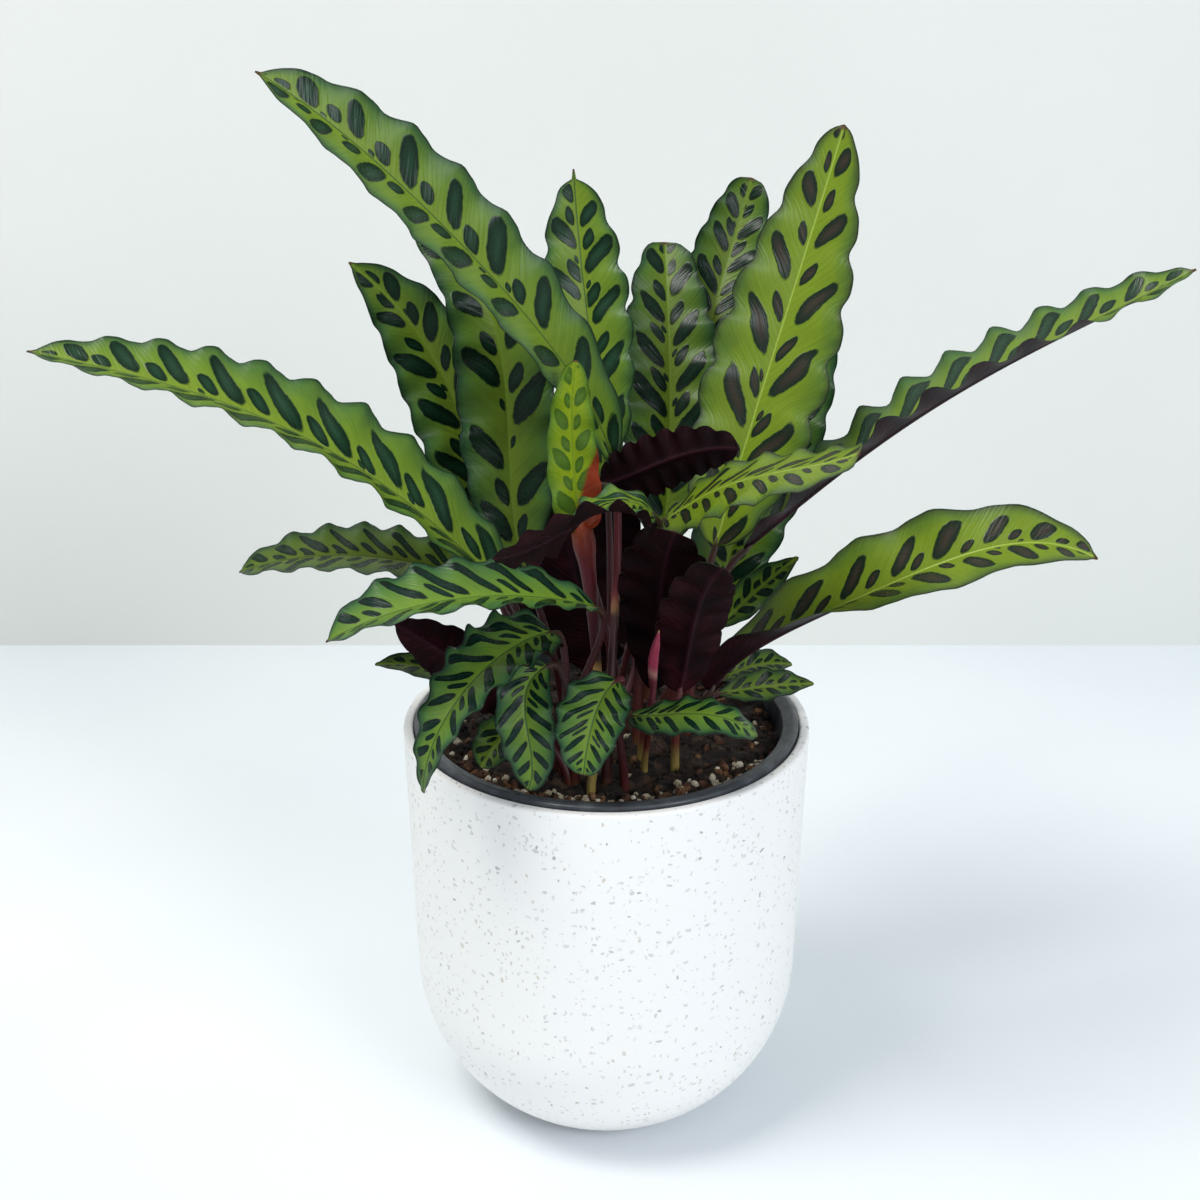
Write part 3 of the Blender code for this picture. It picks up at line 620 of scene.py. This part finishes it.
def rounded_bottom(waist_radius, cut_height, cut_radius):
    """Points up an ellipse arc from the cut to the waist, where the wall is upright."""
    reach = COVER_WAIST_HEIGHT - cut_height
    depth = reach / np.sqrt(1 - (cut_radius / waist_radius) ** 2)
    heights = COVER_WAIST_HEIGHT - reach * np.cos(np.linspace(0, np.pi / 2, ARC_STEPS))
    radii = waist_radius * np.sqrt(1 - ((COVER_WAIST_HEIGHT - heights) / depth) ** 2)
    return np.stack([radii, heights], -1)


def filleted(corners):
    """An outline of (radius, height, round) corners, each replaced by a parabola that starts and ends its
    round's length away along the two sides."""
    corners = np.asarray(corners, float)
    place, reach = corners[:, :2], corners[:, 2]
    result = [place[:1]]
    t = np.linspace(0, 1, CORNER_STEPS)[:, None]
    for i in range(1, len(place) - 1):
        back, ahead = unit(place[i - 1] - place[i]), unit(place[i + 1] - place[i])
        start, end = place[i] + back * reach[i], place[i] + ahead * reach[i]
        arc = (1 - t) ** 2 * start + 2 * t * (1 - t) * place[i] + t ** 2 * end
        result.append(arc if reach[i] > 0 else place[i:i + 1])
    return np.concatenate(result + [place[-1:]])


def turned_skin(outline):
    """A turned solid: each (radius, height) point of the outline becomes a ring; the ends close flat."""
    angle = np.arange(AROUND_POTS) * FULL_TURN / AROUND_POTS
    radius, height = outline[:, :1], outline[:, 1:]
    rings = np.stack([radius * np.cos(angle), radius * np.sin(angle), height + 0 * angle], -1)
    return ring_skin(rings)


def cover_pot_skin():
    """The cover pot's outline: from the foot up outside, over the rim, and down inside to the floor."""
    outer = rounded_bottom(COVER_WAIST_RADIUS, COVER_EDGE, COVER_FOOT_RADIUS + COVER_EDGE)
    inner = rounded_bottom(COVER_INNER_WAIST, COVER_FLOOR, COVER_INNER_FLOOR_RADIUS)
    rim = filleted([(COVER_WAIST_RADIUS, COVER_RIM_START, 0),
                    (COVER_TOP_RADIUS, COVER_HEIGHT, COVER_RIM_ROUND),
                    (COVER_MOUTH_RADIUS, COVER_HEIGHT, COVER_RIM_ROUND),
                    (COVER_INNER_WAIST, COVER_RIM_START, 0)])
    foot = [(CENTRE_RADIUS, 0.0)] + [(COVER_FOOT_RADIUS + out, up) for out, up in COVER_FOOT_ROUND]
    floor = [(CENTRE_RADIUS, COVER_FLOOR)]
    return turned_skin(np.concatenate([foot, outer, rim[1:-1], inner[::-1], floor]))


def nursery_wall(height):
    """Radius of the nursery pot's tapered outer wall at a height."""
    rise = (height - NURSERY_BOTTOM) / (RIM_UNDERSIDE - NURSERY_BOTTOM)
    return NURSERY_BASE_RADIUS + (WALL_TOP_RADIUS - NURSERY_BASE_RADIUS) * rise


def nursery_pot_skin():
    """The inner pot's outline of (radius, height, round): base, wall, rolled rim, inner wall and floor."""
    floor = NURSERY_BOTTOM + NURSERY_FLOOR
    lip = nursery_wall(RIM_INNER_HEIGHT - RIM_LIP) - NURSERY_WALL
    return turned_skin(filleted([
        (CENTRE_RADIUS, NURSERY_BOTTOM, 0),
        (NURSERY_BASE_RADIUS, NURSERY_BOTTOM, 1.5),
        (WALL_TOP_RADIUS, RIM_UNDERSIDE, 0.4),
        (RIM_RADIUS, RIM_UNDERSIDE, 0.7),
        (RIM_RADIUS, RIM_EDGE_HEIGHT, 1.2),
        (RIM_CREST_RADIUS, NURSERY_TOP, 0.9),
        (RIM_INNER_RADIUS, RIM_INNER_HEIGHT, 0.7),
        (lip, RIM_INNER_HEIGHT - RIM_LIP_DROP, 0.5),
        (NURSERY_BASE_RADIUS - NURSERY_WALL, floor, 1.0),
        (CENTRE_RADIUS, floor, 0),
    ]))


def soil_height(x, y):
    """Surface of the mix: low lumps from crossed sine waves, with finer and finer ones added here."""
    along, back, start = SOIL_BROAD
    broad = np.sin(along * x + start) * np.sin(back * y)
    along, back, start = SOIL_FINE
    height = SOIL_LEVEL + SOIL_LUMP * (broad + SOIL_FINE_SHARE * np.sin(along * x + back * y + start))
    dice = np.random.default_rng(SOIL_SEED)
    for length, amount in SOIL_CRUMBS:
        for _ in range(CROSSED_WAVES):
            angle, start = dice.uniform(0, FULL_TURN, 2)
            wave = FULL_TURN / length * (x * np.cos(angle) + y * np.sin(angle)) + start
            height = height + amount / 2 * np.sin(wave)
    return height


def soil_skin():
    """The top of the mix as rings from the middle to the pot's wall, then down and in under it."""
    edge = nursery_wall(SOIL_LEVEL) - NURSERY_WALL - SOIL_GAP
    radius = np.linspace(SOIL_MIDDLE_RADIUS, edge, SOIL_RINGS)[:, None]
    angle = np.arange(AROUND_SOIL)[None, :] * FULL_TURN / AROUND_SOIL
    x, y = radius * np.cos(angle), radius * np.sin(angle)
    top = np.stack([x, y, soil_height(x, y)], -1)
    low = []
    for share in SOIL_UNDER_SHARES:
        low.append(np.stack([x[-1] * share, y[-1] * share, 0 * x[-1] + SOIL_LEVEL - SOIL_DEPTH], -1))
    return ring_skin(np.concatenate([top, np.array(low)]))


def grit_skin(places, sizes, seed):
    """Loose bits: each is a ball of a few facets with its own three radii, turned at random and dented.

    places is (bits, 3) and sizes (bits, 3); every bit is a stack of small rings, so the whole heap is
    worked out as one array of (bits, rings, around, 3).
    """
    dice = np.random.default_rng(seed)
    bits = len(places)
    tilt = np.linspace(*GRIT_ENDS, GRIT_FACETS)[None, :, None] * np.pi
    angle = np.arange(GRIT_AROUND)[None, None, :] * FULL_TURN / GRIT_AROUND
    ball = [np.sin(tilt) * np.cos(angle), np.sin(tilt) * np.sin(angle), np.cos(tilt) + 0 * angle]
    dent = 1 + dice.uniform(-GRIT_DENT, GRIT_DENT, (bits, GRIT_FACETS, GRIT_AROUND, 1))
    shape = np.stack(ball, -1) * dent * sizes[:, None, None]
    first = unit(dice.normal(size=(bits, 3)) * (1, 1, GRIT_FLATNESS))
    second = unit(np.cross(first, dice.normal(size=(bits, 3))))
    axes = np.stack([first, second, np.cross(first, second)], 1)
    placed = np.einsum("brax,bxy->bray", shape, axes) + places[:, None, None]
    near = np.arange(bits * GRIT_FACETS * GRIT_AROUND).reshape(bits, GRIT_FACETS, GRIT_AROUND)
    far = np.roll(near, -1, axis=2)
    quads = np.stack([near[:, :-1], near[:, 1:], far[:, 1:], far[:, :-1]], -1).reshape(-1, 4)
    caps = [(ring, 0) for ring in near[:, 0]] + [(ring[::-1], 0) for ring in near[:, -1]]
    return Skin(placed.reshape(-1, 3), quads, caps, np.zeros(len(quads), int), {})


def scattered(count, seed, front_share):
    """Places on the mix, clear of the stalks' feet; front_share of them lie near the front of the rim."""
    dice = np.random.default_rng(seed)
    edge = nursery_wall(SOIL_LEVEL) - NURSERY_WALL - WALL_CLEARANCE
    draws = SPARE_PLACES * count
    radius = edge * np.sqrt(dice.uniform(0, 1, draws))
    angle = dice.uniform(0, FULL_TURN, draws)
    front = dice.uniform(0, 1, draws) < front_share
    radius = np.where(front, edge * dice.uniform(FRONT_BELT, 1.0, draws), radius)
    angle = np.where(front, dice.normal(-np.pi / 2, FRONT_SPREAD, draws), angle)
    x, y = radius * np.cos(angle), radius * np.sin(angle)
    feet = np.array([leaf.foot for leaf in LEAVES.values()] + [SHOOT_FOOT], float)
    gap = np.hypot(x[:, None] - feet[:, 0], y[:, None] - feet[:, 1]).min(axis=1)
    x, y = x[gap > FOOT_CLEARANCE][:count], y[gap > FOOT_CLEARANCE][:count]
    return np.stack([x, y, soil_height(x, y)], -1), dice


# Finishes

def feed(node, feeds):
    """Sets inputs of a node, by their order or their names. A feed is another node, whose first output is
    taken, or one of its outputs, or a value, or an sRGB hex colour."""
    for key, value in feeds.items() if isinstance(feeds, dict) else enumerate(feeds):
        if isinstance(value, bpy.types.Node):
            value = value.outputs[0]
        if isinstance(value, bpy.types.NodeSocket):
            node.id_data.links.new(value, node.inputs[key])
        else:
            node.inputs[key].default_value = linear(value) if isinstance(value, str) else value


def add_node(tree, kind, feeds=(), operation=None, stops=(), **settings):
    """Adds one node. kind is its type without the word ShaderNode, operation what a maths node works out,
    stops the places and sRGB hex colours of a colour ramp, and settings are its other properties."""
    node = tree.nodes.new("ShaderNode" + kind)
    if operation:
        node.operation = operation
    for name, value in settings.items():
        setattr(node, name, value)
    feed(node, feeds)
    if stops:
        bands = node.color_ramp.elements
        while len(bands) < len(stops):
            bands.new(1.0)
        for band, (place, code) in zip(bands, stops):
            band.position = place
            band.color = linear(code)
    return node


def new_material(name):
    """A material, what adds a node to it, and the place on the object that its patterns read, in metres."""
    made = bpy.data.materials.new(name)
    made.use_nodes = True
    add = partial(add_node, made.node_tree)
    return made, add, add("TexCoord").outputs["Object"]


def finished(made, colour, rough, relief=None, strength=0.0, depth=0.0, levels=()):
    """Joins colour, roughness and relief (its depth in millimetres) to the shader, and sets its levels."""
    feeds = {"Base Color": colour, "Roughness": rough, **dict(levels)}
    if relief is not None:
        bump = {"Height": relief, "Strength": strength, "Distance": depth * MM}
        feeds["Normal"] = add_node(made.node_tree, "Bump", bump)
    feed(made.node_tree.nodes["Principled BSDF"], feeds)
    return made


def laid_over(add, colour, layers):
    """A colour with layers over it, each given by how far it covers and by its own colour. In a node that
    mixes colours, input 0 takes the cover and inputs 6 and 7 the colours under and over; output 2 gives
    their mix."""
    for cover, over in layers:
        colour = add("Mix", {0: cover, 6: colour, 7: over}, data_type="RGBA").outputs[2]
    return colour


def mark_distance(add, marks, kind, seed):
    """How far a point is from the nearest mark of a kind, 1 at its outline.

    The share along the cell and the share across, less the mark's own middle, are each set over the mark's
    half length; the distance is the root of the first squared plus the second cubed, so a mark has near
    straight sides and full ends. A random number of the cell moves it, sizes it or leaves it out.
    """
    shift, middle, half_along, half_across, often = kind
    along, across = MARK_MOVES
    moved = add("VectorMath", (marks, (shift, 0, 0)), "ADD")
    cell = add("VectorMath", [moved], "FLOOR")
    dice = add("TexWhiteNoise", {"Vector": cell, "W": seed}, noise_dimensions="4D")
    part = add("VectorMath", [moved], "FRACTION")
    centre = add("VectorMath", (dice.outputs["Color"], (along, across, 0),
                                (0.5 - along / 2, middle - across / 2, 0)), "MULTIPLY_ADD")
    away = add("VectorMath", (part, centre), "SUBTRACT")
    scaled = add("VectorMath", (away, (1 / half_along, 1 / half_across, 0)), "MULTIPLY")
    sides = add("SeparateXYZ", [add("VectorMath", [scaled], "ABSOLUTE")])
    ends = add("Math", (sides.outputs["Y"], MARK_ENDS), "POWER")
    squared = add("Math", (sides, sides, ends), "MULTIPLY_ADD")
    distance = add("Math", [squared], "SQRT")
    size = add("SeparateXYZ", [dice.outputs["Color"]]).outputs["Z"]
    size = add("MapRange", (size, 0.0, 1.0, *MARK_SIZES))
    distance = add("Math", (distance, size), "MULTIPLY")
    absent = add("Math", (dice, often), "GREATER_THAN")
    return add("Math", (absent, MARK_ABSENT, distance), "MULTIPLY_ADD")


def blade_marks(add, marks, kinds, fine):
    """How far a point is from the nearest mark of all kinds, with the outlines roughened by fine noise."""
    distance = None
    for seed, kind in enumerate(kinds):
        one = mark_distance(add, marks, kind, float(seed))
        distance = one if distance is None else add("Math", (distance, one), "MINIMUM")
    warp = add("Math", (fine, 0.3, -0.15), "MULTIPLY_ADD")
    return add("Math", (distance, warp), "ADD")


def streaks(add, place, cells, detail):
    """Long grain: noise with its own number of cells per unit along each axis."""
    drawn = add("VectorMath", (place, cells), "MULTIPLY")
    return add("TexNoise", {"Vector": drawn, "Scale": 1.0, "Detail": detail})


def leaf_top(name, kinds, near_rib, middle, near_edge, mark_sheen_core, mark_rim, rib_line, blush=None):
    """Waxy living leaf: a cuticle over soft tissue, so the gloss is broad and the colour deep.

    Yellow-green ground, darker to the margin, with large and small dark marks in each half, their middles
    lightened as painted sheen, fine side veins that lean toward the tip, a thin dark margin and midrib, and a
    tip that has dried brown. blush is the colour that the base of one half has on the leaf that still
    unrolls.
    """
    made, add, place = new_material(name)
    marks, edge, rib = (add("UVMap", uv_map=layer) for layer in ("marks", "edge", "rib"))
    across, inward = (add("SeparateXYZ", [layer]).outputs["Y"] for layer in (marks, edge))
    side = add("SeparateXYZ", [rib])
    share = side.outputs["Y"]
    from_rib = add("Math", [side], "ABSOLUTE")

    # Soft unevenness of about 12 mm and of about 3 mm, and side veins about 1.5 mm apart
    broad = add("TexNoise", {"Vector": place, "Scale": 80.0, "Detail": 2.0})
    fine = add("TexNoise", {"Vector": place, "Scale": 350.0, "Detail": 3.0})
    veins = streaks(add, marks, VEIN_CELLS, 1.0)
    streak = add("MapRange", (veins, *NOISE_SPAN, 0.92, 1.07))

    distance = blade_marks(add, marks, kinds, fine)
    off_margin = add("MapRange", (inward, 1.2, 2.2), **EASED)
    mark = add("MapRange", (distance, 1.1, 0.9, 0.0, off_margin), **EASED)

    level = add("Math", (broad, 0.5, -0.25), "MULTIPLY_ADD")
    level = add("Math", (across, level), "ADD")
    ground = add("ValToRGB", [level], stops=((0.0, near_rib), (0.6, middle), (1.0, near_edge)))
    ground = add("VectorMath", (ground, streak), "MULTIPLY")
    # Each mark is lighter in its middle than at its rim: painted sheen
    sheened_mark = add("ValToRGB", [distance], stops=((0.15, mark_sheen_core), (0.8, mark_rim)))
    sheened_mark = add("VectorMath", (sheened_mark, streak), "MULTIPLY")

    # Over the ground, from the lowest layer up: it darkens over the last 4 mm; the marks; a dark line about
    # 1 mm wide at the very edge; the midrib's pale band and the thin line in it; the dried tip
    band = add("Math", (broad, 1.4, inward), "MULTIPLY_ADD")
    near_tip = add("MapRange", (from_rib, 2.5, 1.2), **EASED)
    layers = [
        (add("MapRange", (inward, 4.0, 0.8, 0.0, 0.45), **EASED), mark_sheen_core),
        (mark, sheened_mark),
        (add("MapRange", (band, 1.9, 1.2, 0.0, 0.75), **EASED), mark_rim),
        (add("MapRange", (from_rib, 1.3, 0.6, 0.0, 0.7), **EASED), near_rib),
        (add("MapRange", (from_rib, 0.5, 0.25, 0.0, 0.8), **EASED), rib_line),
        (add("MapRange", (share, 0.984, 0.994, 0.0, near_tip), **EASED), DRIED_TIP),
    ]
    if blush:
        # The blush starts 4 mm left of the midrib at the base and ends at the right margin halfway up
        slant = add("Math", (share, -30.0, side), "MULTIPLY_ADD")
        layers.append((add("MapRange", (slant, -5.5, -3.0), **EASED), blush))
    colour = laid_over(add, ground, layers)

    # Satin ground, and marks that shine a little more
    dull = add("Math", (fine, 0.2, 0.26), "MULTIPLY_ADD")
    dull = add("Math", (mark, -0.08, dull), "MULTIPLY_ADD")
    relief = add("Math", (mark, 0.5, veins), "MULTIPLY_ADD")
    return finished(made, colour, dull, relief, 0.6, 0.4, {"IOR": 1.42, "Specular IOR Level": 0.32})


def leaf_underside():
    """Lower skin of the leaf: burgundy, darkened nearly to black as painted shade, duller than the top, paler
    along the keel and the side veins.
    """
    made, add, place = new_material("leaf_underside")
    marks, rib = (add("UVMap", uv_map=layer) for layer in ("marks", "rib"))
    broad = add("TexNoise", {"Vector": place, "Scale": 60.0, "Detail": 3.0})
    veins = streaks(add, marks, VEIN_CELLS, 1.0)
    level = add("Math", (veins, 0.5, broad), "MULTIPLY_ADD")
    # The burgundy is darkened nearly to black: painted shade of the plant's shaded middle
    skin = add("ValToRGB", [level], stops=((0.5, "#0A0204"), (0.8, "#1A0509"), (1.0, "#300E16")))
    from_rib = add("Math", [add("SeparateXYZ", [rib])], "ABSOLUTE")
    keel = add("MapRange", (from_rib, 1.3, 0.5, 0.0, 0.4), **EASED)
    colour = laid_over(add, skin, [(keel, "#381824")])
    return finished(made, colour, 0.55, veins, 0.7, 0.5, {"Specular IOR Level": 0.07})


def stalk_finish(name, stops):
    """Smooth young stalk skin: its colour runs from foot to neck, with fine streaks along it."""
    made, add, place = new_material(name)
    share = add("SeparateXYZ", [add("UVMap", uv_map="along")]).outputs["Y"]
    # Streaks about 0.6 mm wide and 12 mm long, so the noise is squeezed to a twentieth upright
    thin = streaks(add, place, (1600.0, 1600.0, 80.0), 2.0)
    broad = add("TexNoise", {"Vector": place, "Scale": 45.0, "Detail": 1.0})
    level = add("Math", (broad, 0.35, -0.175), "MULTIPLY_ADD")
    level = add("Math", (share, level), "ADD")
    skin = add("ValToRGB", [level], stops=stops)
    light = add("MapRange", (thin, *NOISE_SPAN, 0.78, 1.2))
    colour = add("VectorMath", (skin, light), "MULTIPLY")
    return finished(made, colour, 0.46, thin, 0.4, 0.2, {"IOR": 1.42})


def terrazzo():
    """Cast white terrazzo: pale cement with stone chips of 1 to 3 mm, ground flat and left matt."""
    made, add, place = new_material("cast_terrazzo")
    bent = add("TexNoise", {"Vector": place, "Scale": 260.0, "Detail": 2.0})
    shifted = add("VectorMath", (bent.outputs["Color"], (CHIP_BEND * MM,) * 3, place), "MULTIPLY_ADD")
    colour, relief = CEMENT_WHITE, None
    for cells_per_metre, tints in CHIP_BEDS:
        drawn = add("VectorMath", (shifted, cells_per_metre), "MULTIPLY")
        cells = add("TexVoronoi", {"Vector": drawn, "Scale": 1.0})
        dice = add("SeparateColor", [cells.outputs["Color"]])
        reach = add("MapRange", (dice, 1 - CHIP_SHARE, 1.0, 0.0, CHIP_REACH))
        inside = add("Math", (reach, cells), "SUBTRACT")
        chip = add("MapRange", (inside, -0.02, 0.03), **EASED)
        stone = add("ValToRGB", [dice.outputs["Green"]], stops=tints)
        colour = laid_over(add, colour, [(chip, stone)])
        relief = chip if relief is None else add("Math", (relief, chip), "ADD")
    grain = add("TexNoise", {"Vector": place, "Scale": 900.0, "Detail": 3.0})
    height = add("Math", (relief, -0.25, grain), "MULTIPLY_ADD")
    return finished(made, colour, 0.55, height, 0.25, 0.3)


def moulded_plastic():
    """Recycled polypropylene, injection moulded: dark slate grey, half matt, with fine scuffs."""
    made, add, place = new_material("moulded_polypropylene")
    mottle = add("TexNoise", {"Vector": place, "Scale": 120.0, "Detail": 5.0})
    body = add("ValToRGB", [mottle], stops=((0.3, "#2E3237"), (0.55, "#3D4247"), (0.8, "#565C61")))
    # Scuffs run round the rim: the noise is drawn out sideways and squeezed in height
    scuffs = streaks(add, place, (160.0, 160.0, 2600.0), 4.0)
    dull = add("MapRange", (scuffs, *NOISE_SPAN, 0.26, 0.5))
    return finished(made, body, dull, scuffs, 0.25, 0.3, {"IOR": 1.49})


def crumbly(name, dark, mid, light, rough):
    """Broken natural stuff, such as peat, bark or pumice: grainy at about 1 mm, matt and pitted."""
    made, add, place = new_material(name)
    grain = add("TexNoise", {"Vector": place, "Scale": 700.0, "Detail": 5.0, "Roughness": 0.7})
    patch = add("TexNoise", {"Vector": place, "Scale": 130.0, "Detail": 2.0})
    level = add("Math", (grain, 0.6, patch), "MULTIPLY_ADD")
    body = add("ValToRGB", [level], stops=((0.55, dark), (0.8, mid), (0.95, light)))
    return finished(made, body, rough, grain, 0.8, 1.0)


def painted(name, pale, deep, rough):
    """Flat emulsion or laminate of the room: nearly even, with a faint broad change of tone."""
    made, add, place = new_material(name)
    broad = add("TexNoise", {"Vector": place, "Scale": 2.5, "Detail": 2.0})
    return finished(made, add("ValToRGB", [broad], stops=((0.3, deep), (0.7, pale))), rough)


# Pieces

def make_leaves():
    """Each blade in its own green, with the burgundy lower skin."""
    under = leaf_underside()
    looks = {name: leaf_top(f"leaf_{name}", *greens) for name, greens in GREENS.items()}
    for number, leaf in LEAVES.items():
        top = looks[LOOKS.get(number, "bright")]
        piece = mesh_piece(f"leaf_{number:02d}", [blade_skin(number, leaf)], [top, under])
        stands_for(piece, "young_leaf_green" if number == YOUNG else "leaf_green", f"blade_{number:02d}")


def make_stalks():
    """Each stalk, or pair grown together at the foot, in its colours, and the furled leaf."""
    looks = {name: stalk_finish(name, stops) for name, stops in STALK_COLOURS.items()}
    for number in sorted(set(LEAVES) - set(TWIN_STALKS.values())):
        grown = [number, TWIN_STALKS[number]] if number in TWIN_STALKS else [number]
        name = "_".join(f"{one:02d}" for one in grown)
        skins = [stalk_skin(LEAVES[one]) for one in grown]
        look = looks[STALK_LOOKS.get(number, "stalk_red_brown")]
        stands_for(mesh_piece(f"leaf_stalk_{name}", skins, [look]), "stalk_red", f"stalk_{name}")
    shoot = mesh_piece("furled_leaf", [shoot_skin()], [looks["furled_pink"]])
    stands_for(shoot, "shoot_pink", "furled_shoot")


def make_pots():
    """The cover pot and the nursery pot in it."""
    cover = mesh_piece("terrazzo_cover", [cover_pot_skin()], [terrazzo()])
    stands_for(cover, "cover_stone", "cover_pot")
    inner = mesh_piece("inner_pot", [nursery_pot_skin()], [moulded_plastic()])
    stands_for(inner, "nursery_plastic", "nursery_pot")


def make_mix():
    """The lumpy top of the mix, and the heaps of loose bits that lie on it."""
    top = mesh_piece("mix_top", [soil_skin()], [crumbly("damp_shaded_potting_mix", *SOIL_COLOURS)])
    stands_for(top, "potting_mix", "potting_mix")
    for name, (count, front, low, high, look, colours) in LOOSE_BITS.items():
        places, dice = scattered(count, BITS_SEED + count, front)
        longest = dice.uniform(low, high, (len(places), 1))
        sizes = longest * dice.uniform(LEAST_ROUND, 1.0, (len(places), 3))
        places[:, 2] += BITS_RISE * sizes.min(axis=1)
        skin = grit_skin(places, sizes, count)
        piece = mesh_piece(name, [skin], [crumbly(look, *colours)], smooth=False)
        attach(piece, "root")


def flat_sheet(name, left_corners, look):
    """A flat sheet of the room, kept out of the object. left_corners has the depth and height of the two
    corners at its left; those at its right lie straight across."""
    low, high = ((-ROOM_HALF_WIDTH, *corner) for corner in left_corners)
    right_low, right_high = ((ROOM_HALF_WIDTH, *corner) for corner in left_corners)
    mesh = bpy.data.meshes.new(name)
    mesh.from_pydata((np.array([low, right_low, right_high, high]) * MM).tolist(), [], [(0, 1, 2, 3)])
    mesh.materials.append(look)
    placed(name, mesh)


def open_back(made):
    """Makes the back of a sheet clear, so that the room can be looked into through its wall."""
    tree = made.node_tree
    facing, clear = (add_node(tree, kind) for kind in ("NewGeometry", "BsdfTransparent"))
    both = add_node(tree, "MixShader", (facing.outputs["Backfacing"], tree.nodes["Principled BSDF"], clear))
    feed(tree.nodes["Material Output"], {"Surface": both})
    return made


def make_room():
    """The table, and the wall behind its back edge."""
    table = painted("white_laminate", "#EEF2F5", "#E2E9EE", 0.5)
    flat_sheet("table_top", ((ROOM_FRONT, 0), (TABLE_BACK, 0)), table)
    wall = open_back(painted("wall_emulsion", "#E8EAE5", "#E2E5E0", 0.8))
    flat_sheet("room_wall", ((TABLE_BACK, WALL_BOTTOM), (TABLE_BACK, WALL_HEIGHT)), wall)


def soft_light(name, place, size, power, code):
    """A square soft box at a place, turned so that its back points away from the plant's middle."""
    light = bpy.data.lights.new(name, "AREA")
    light.size = size
    light.energy = power
    light.color = linear(code)[:3]
    made = placed(name, light)
    made.location = place
    made.rotation_euler = (Vector(place) - Vector(LIT_MIDDLE)).to_track_quat("Z", "Y").to_euler()


def make_light():
    """The even light of the room, and the soft boxes."""
    world = bpy.data.worlds.new("studio")
    bpy.context.scene.world = world
    world.use_nodes = True
    feed(world.node_tree.nodes["Background"], SKY)
    for light in SOFT_LIGHTS:
        soft_light(*light)


def make_camera():
    """The view of the photo, along +Y and down."""
    lens = bpy.data.cameras.new("view")
    lens.lens = CAMERA_LENS
    lens.sensor_width = CAMERA_SENSOR
    camera = placed("view", lens)
    camera.location = np.array(CAMERA_PLACE) * MM
    camera.rotation_euler = (np.radians(CAMERA_PITCH), 0, 0)
    bpy.context.scene.camera = camera


make_leaves()
make_stalks()
make_pots()
make_mix()
make_room()
make_light()
make_camera()
bpy.context.scene.view_settings.view_transform = "Standard"
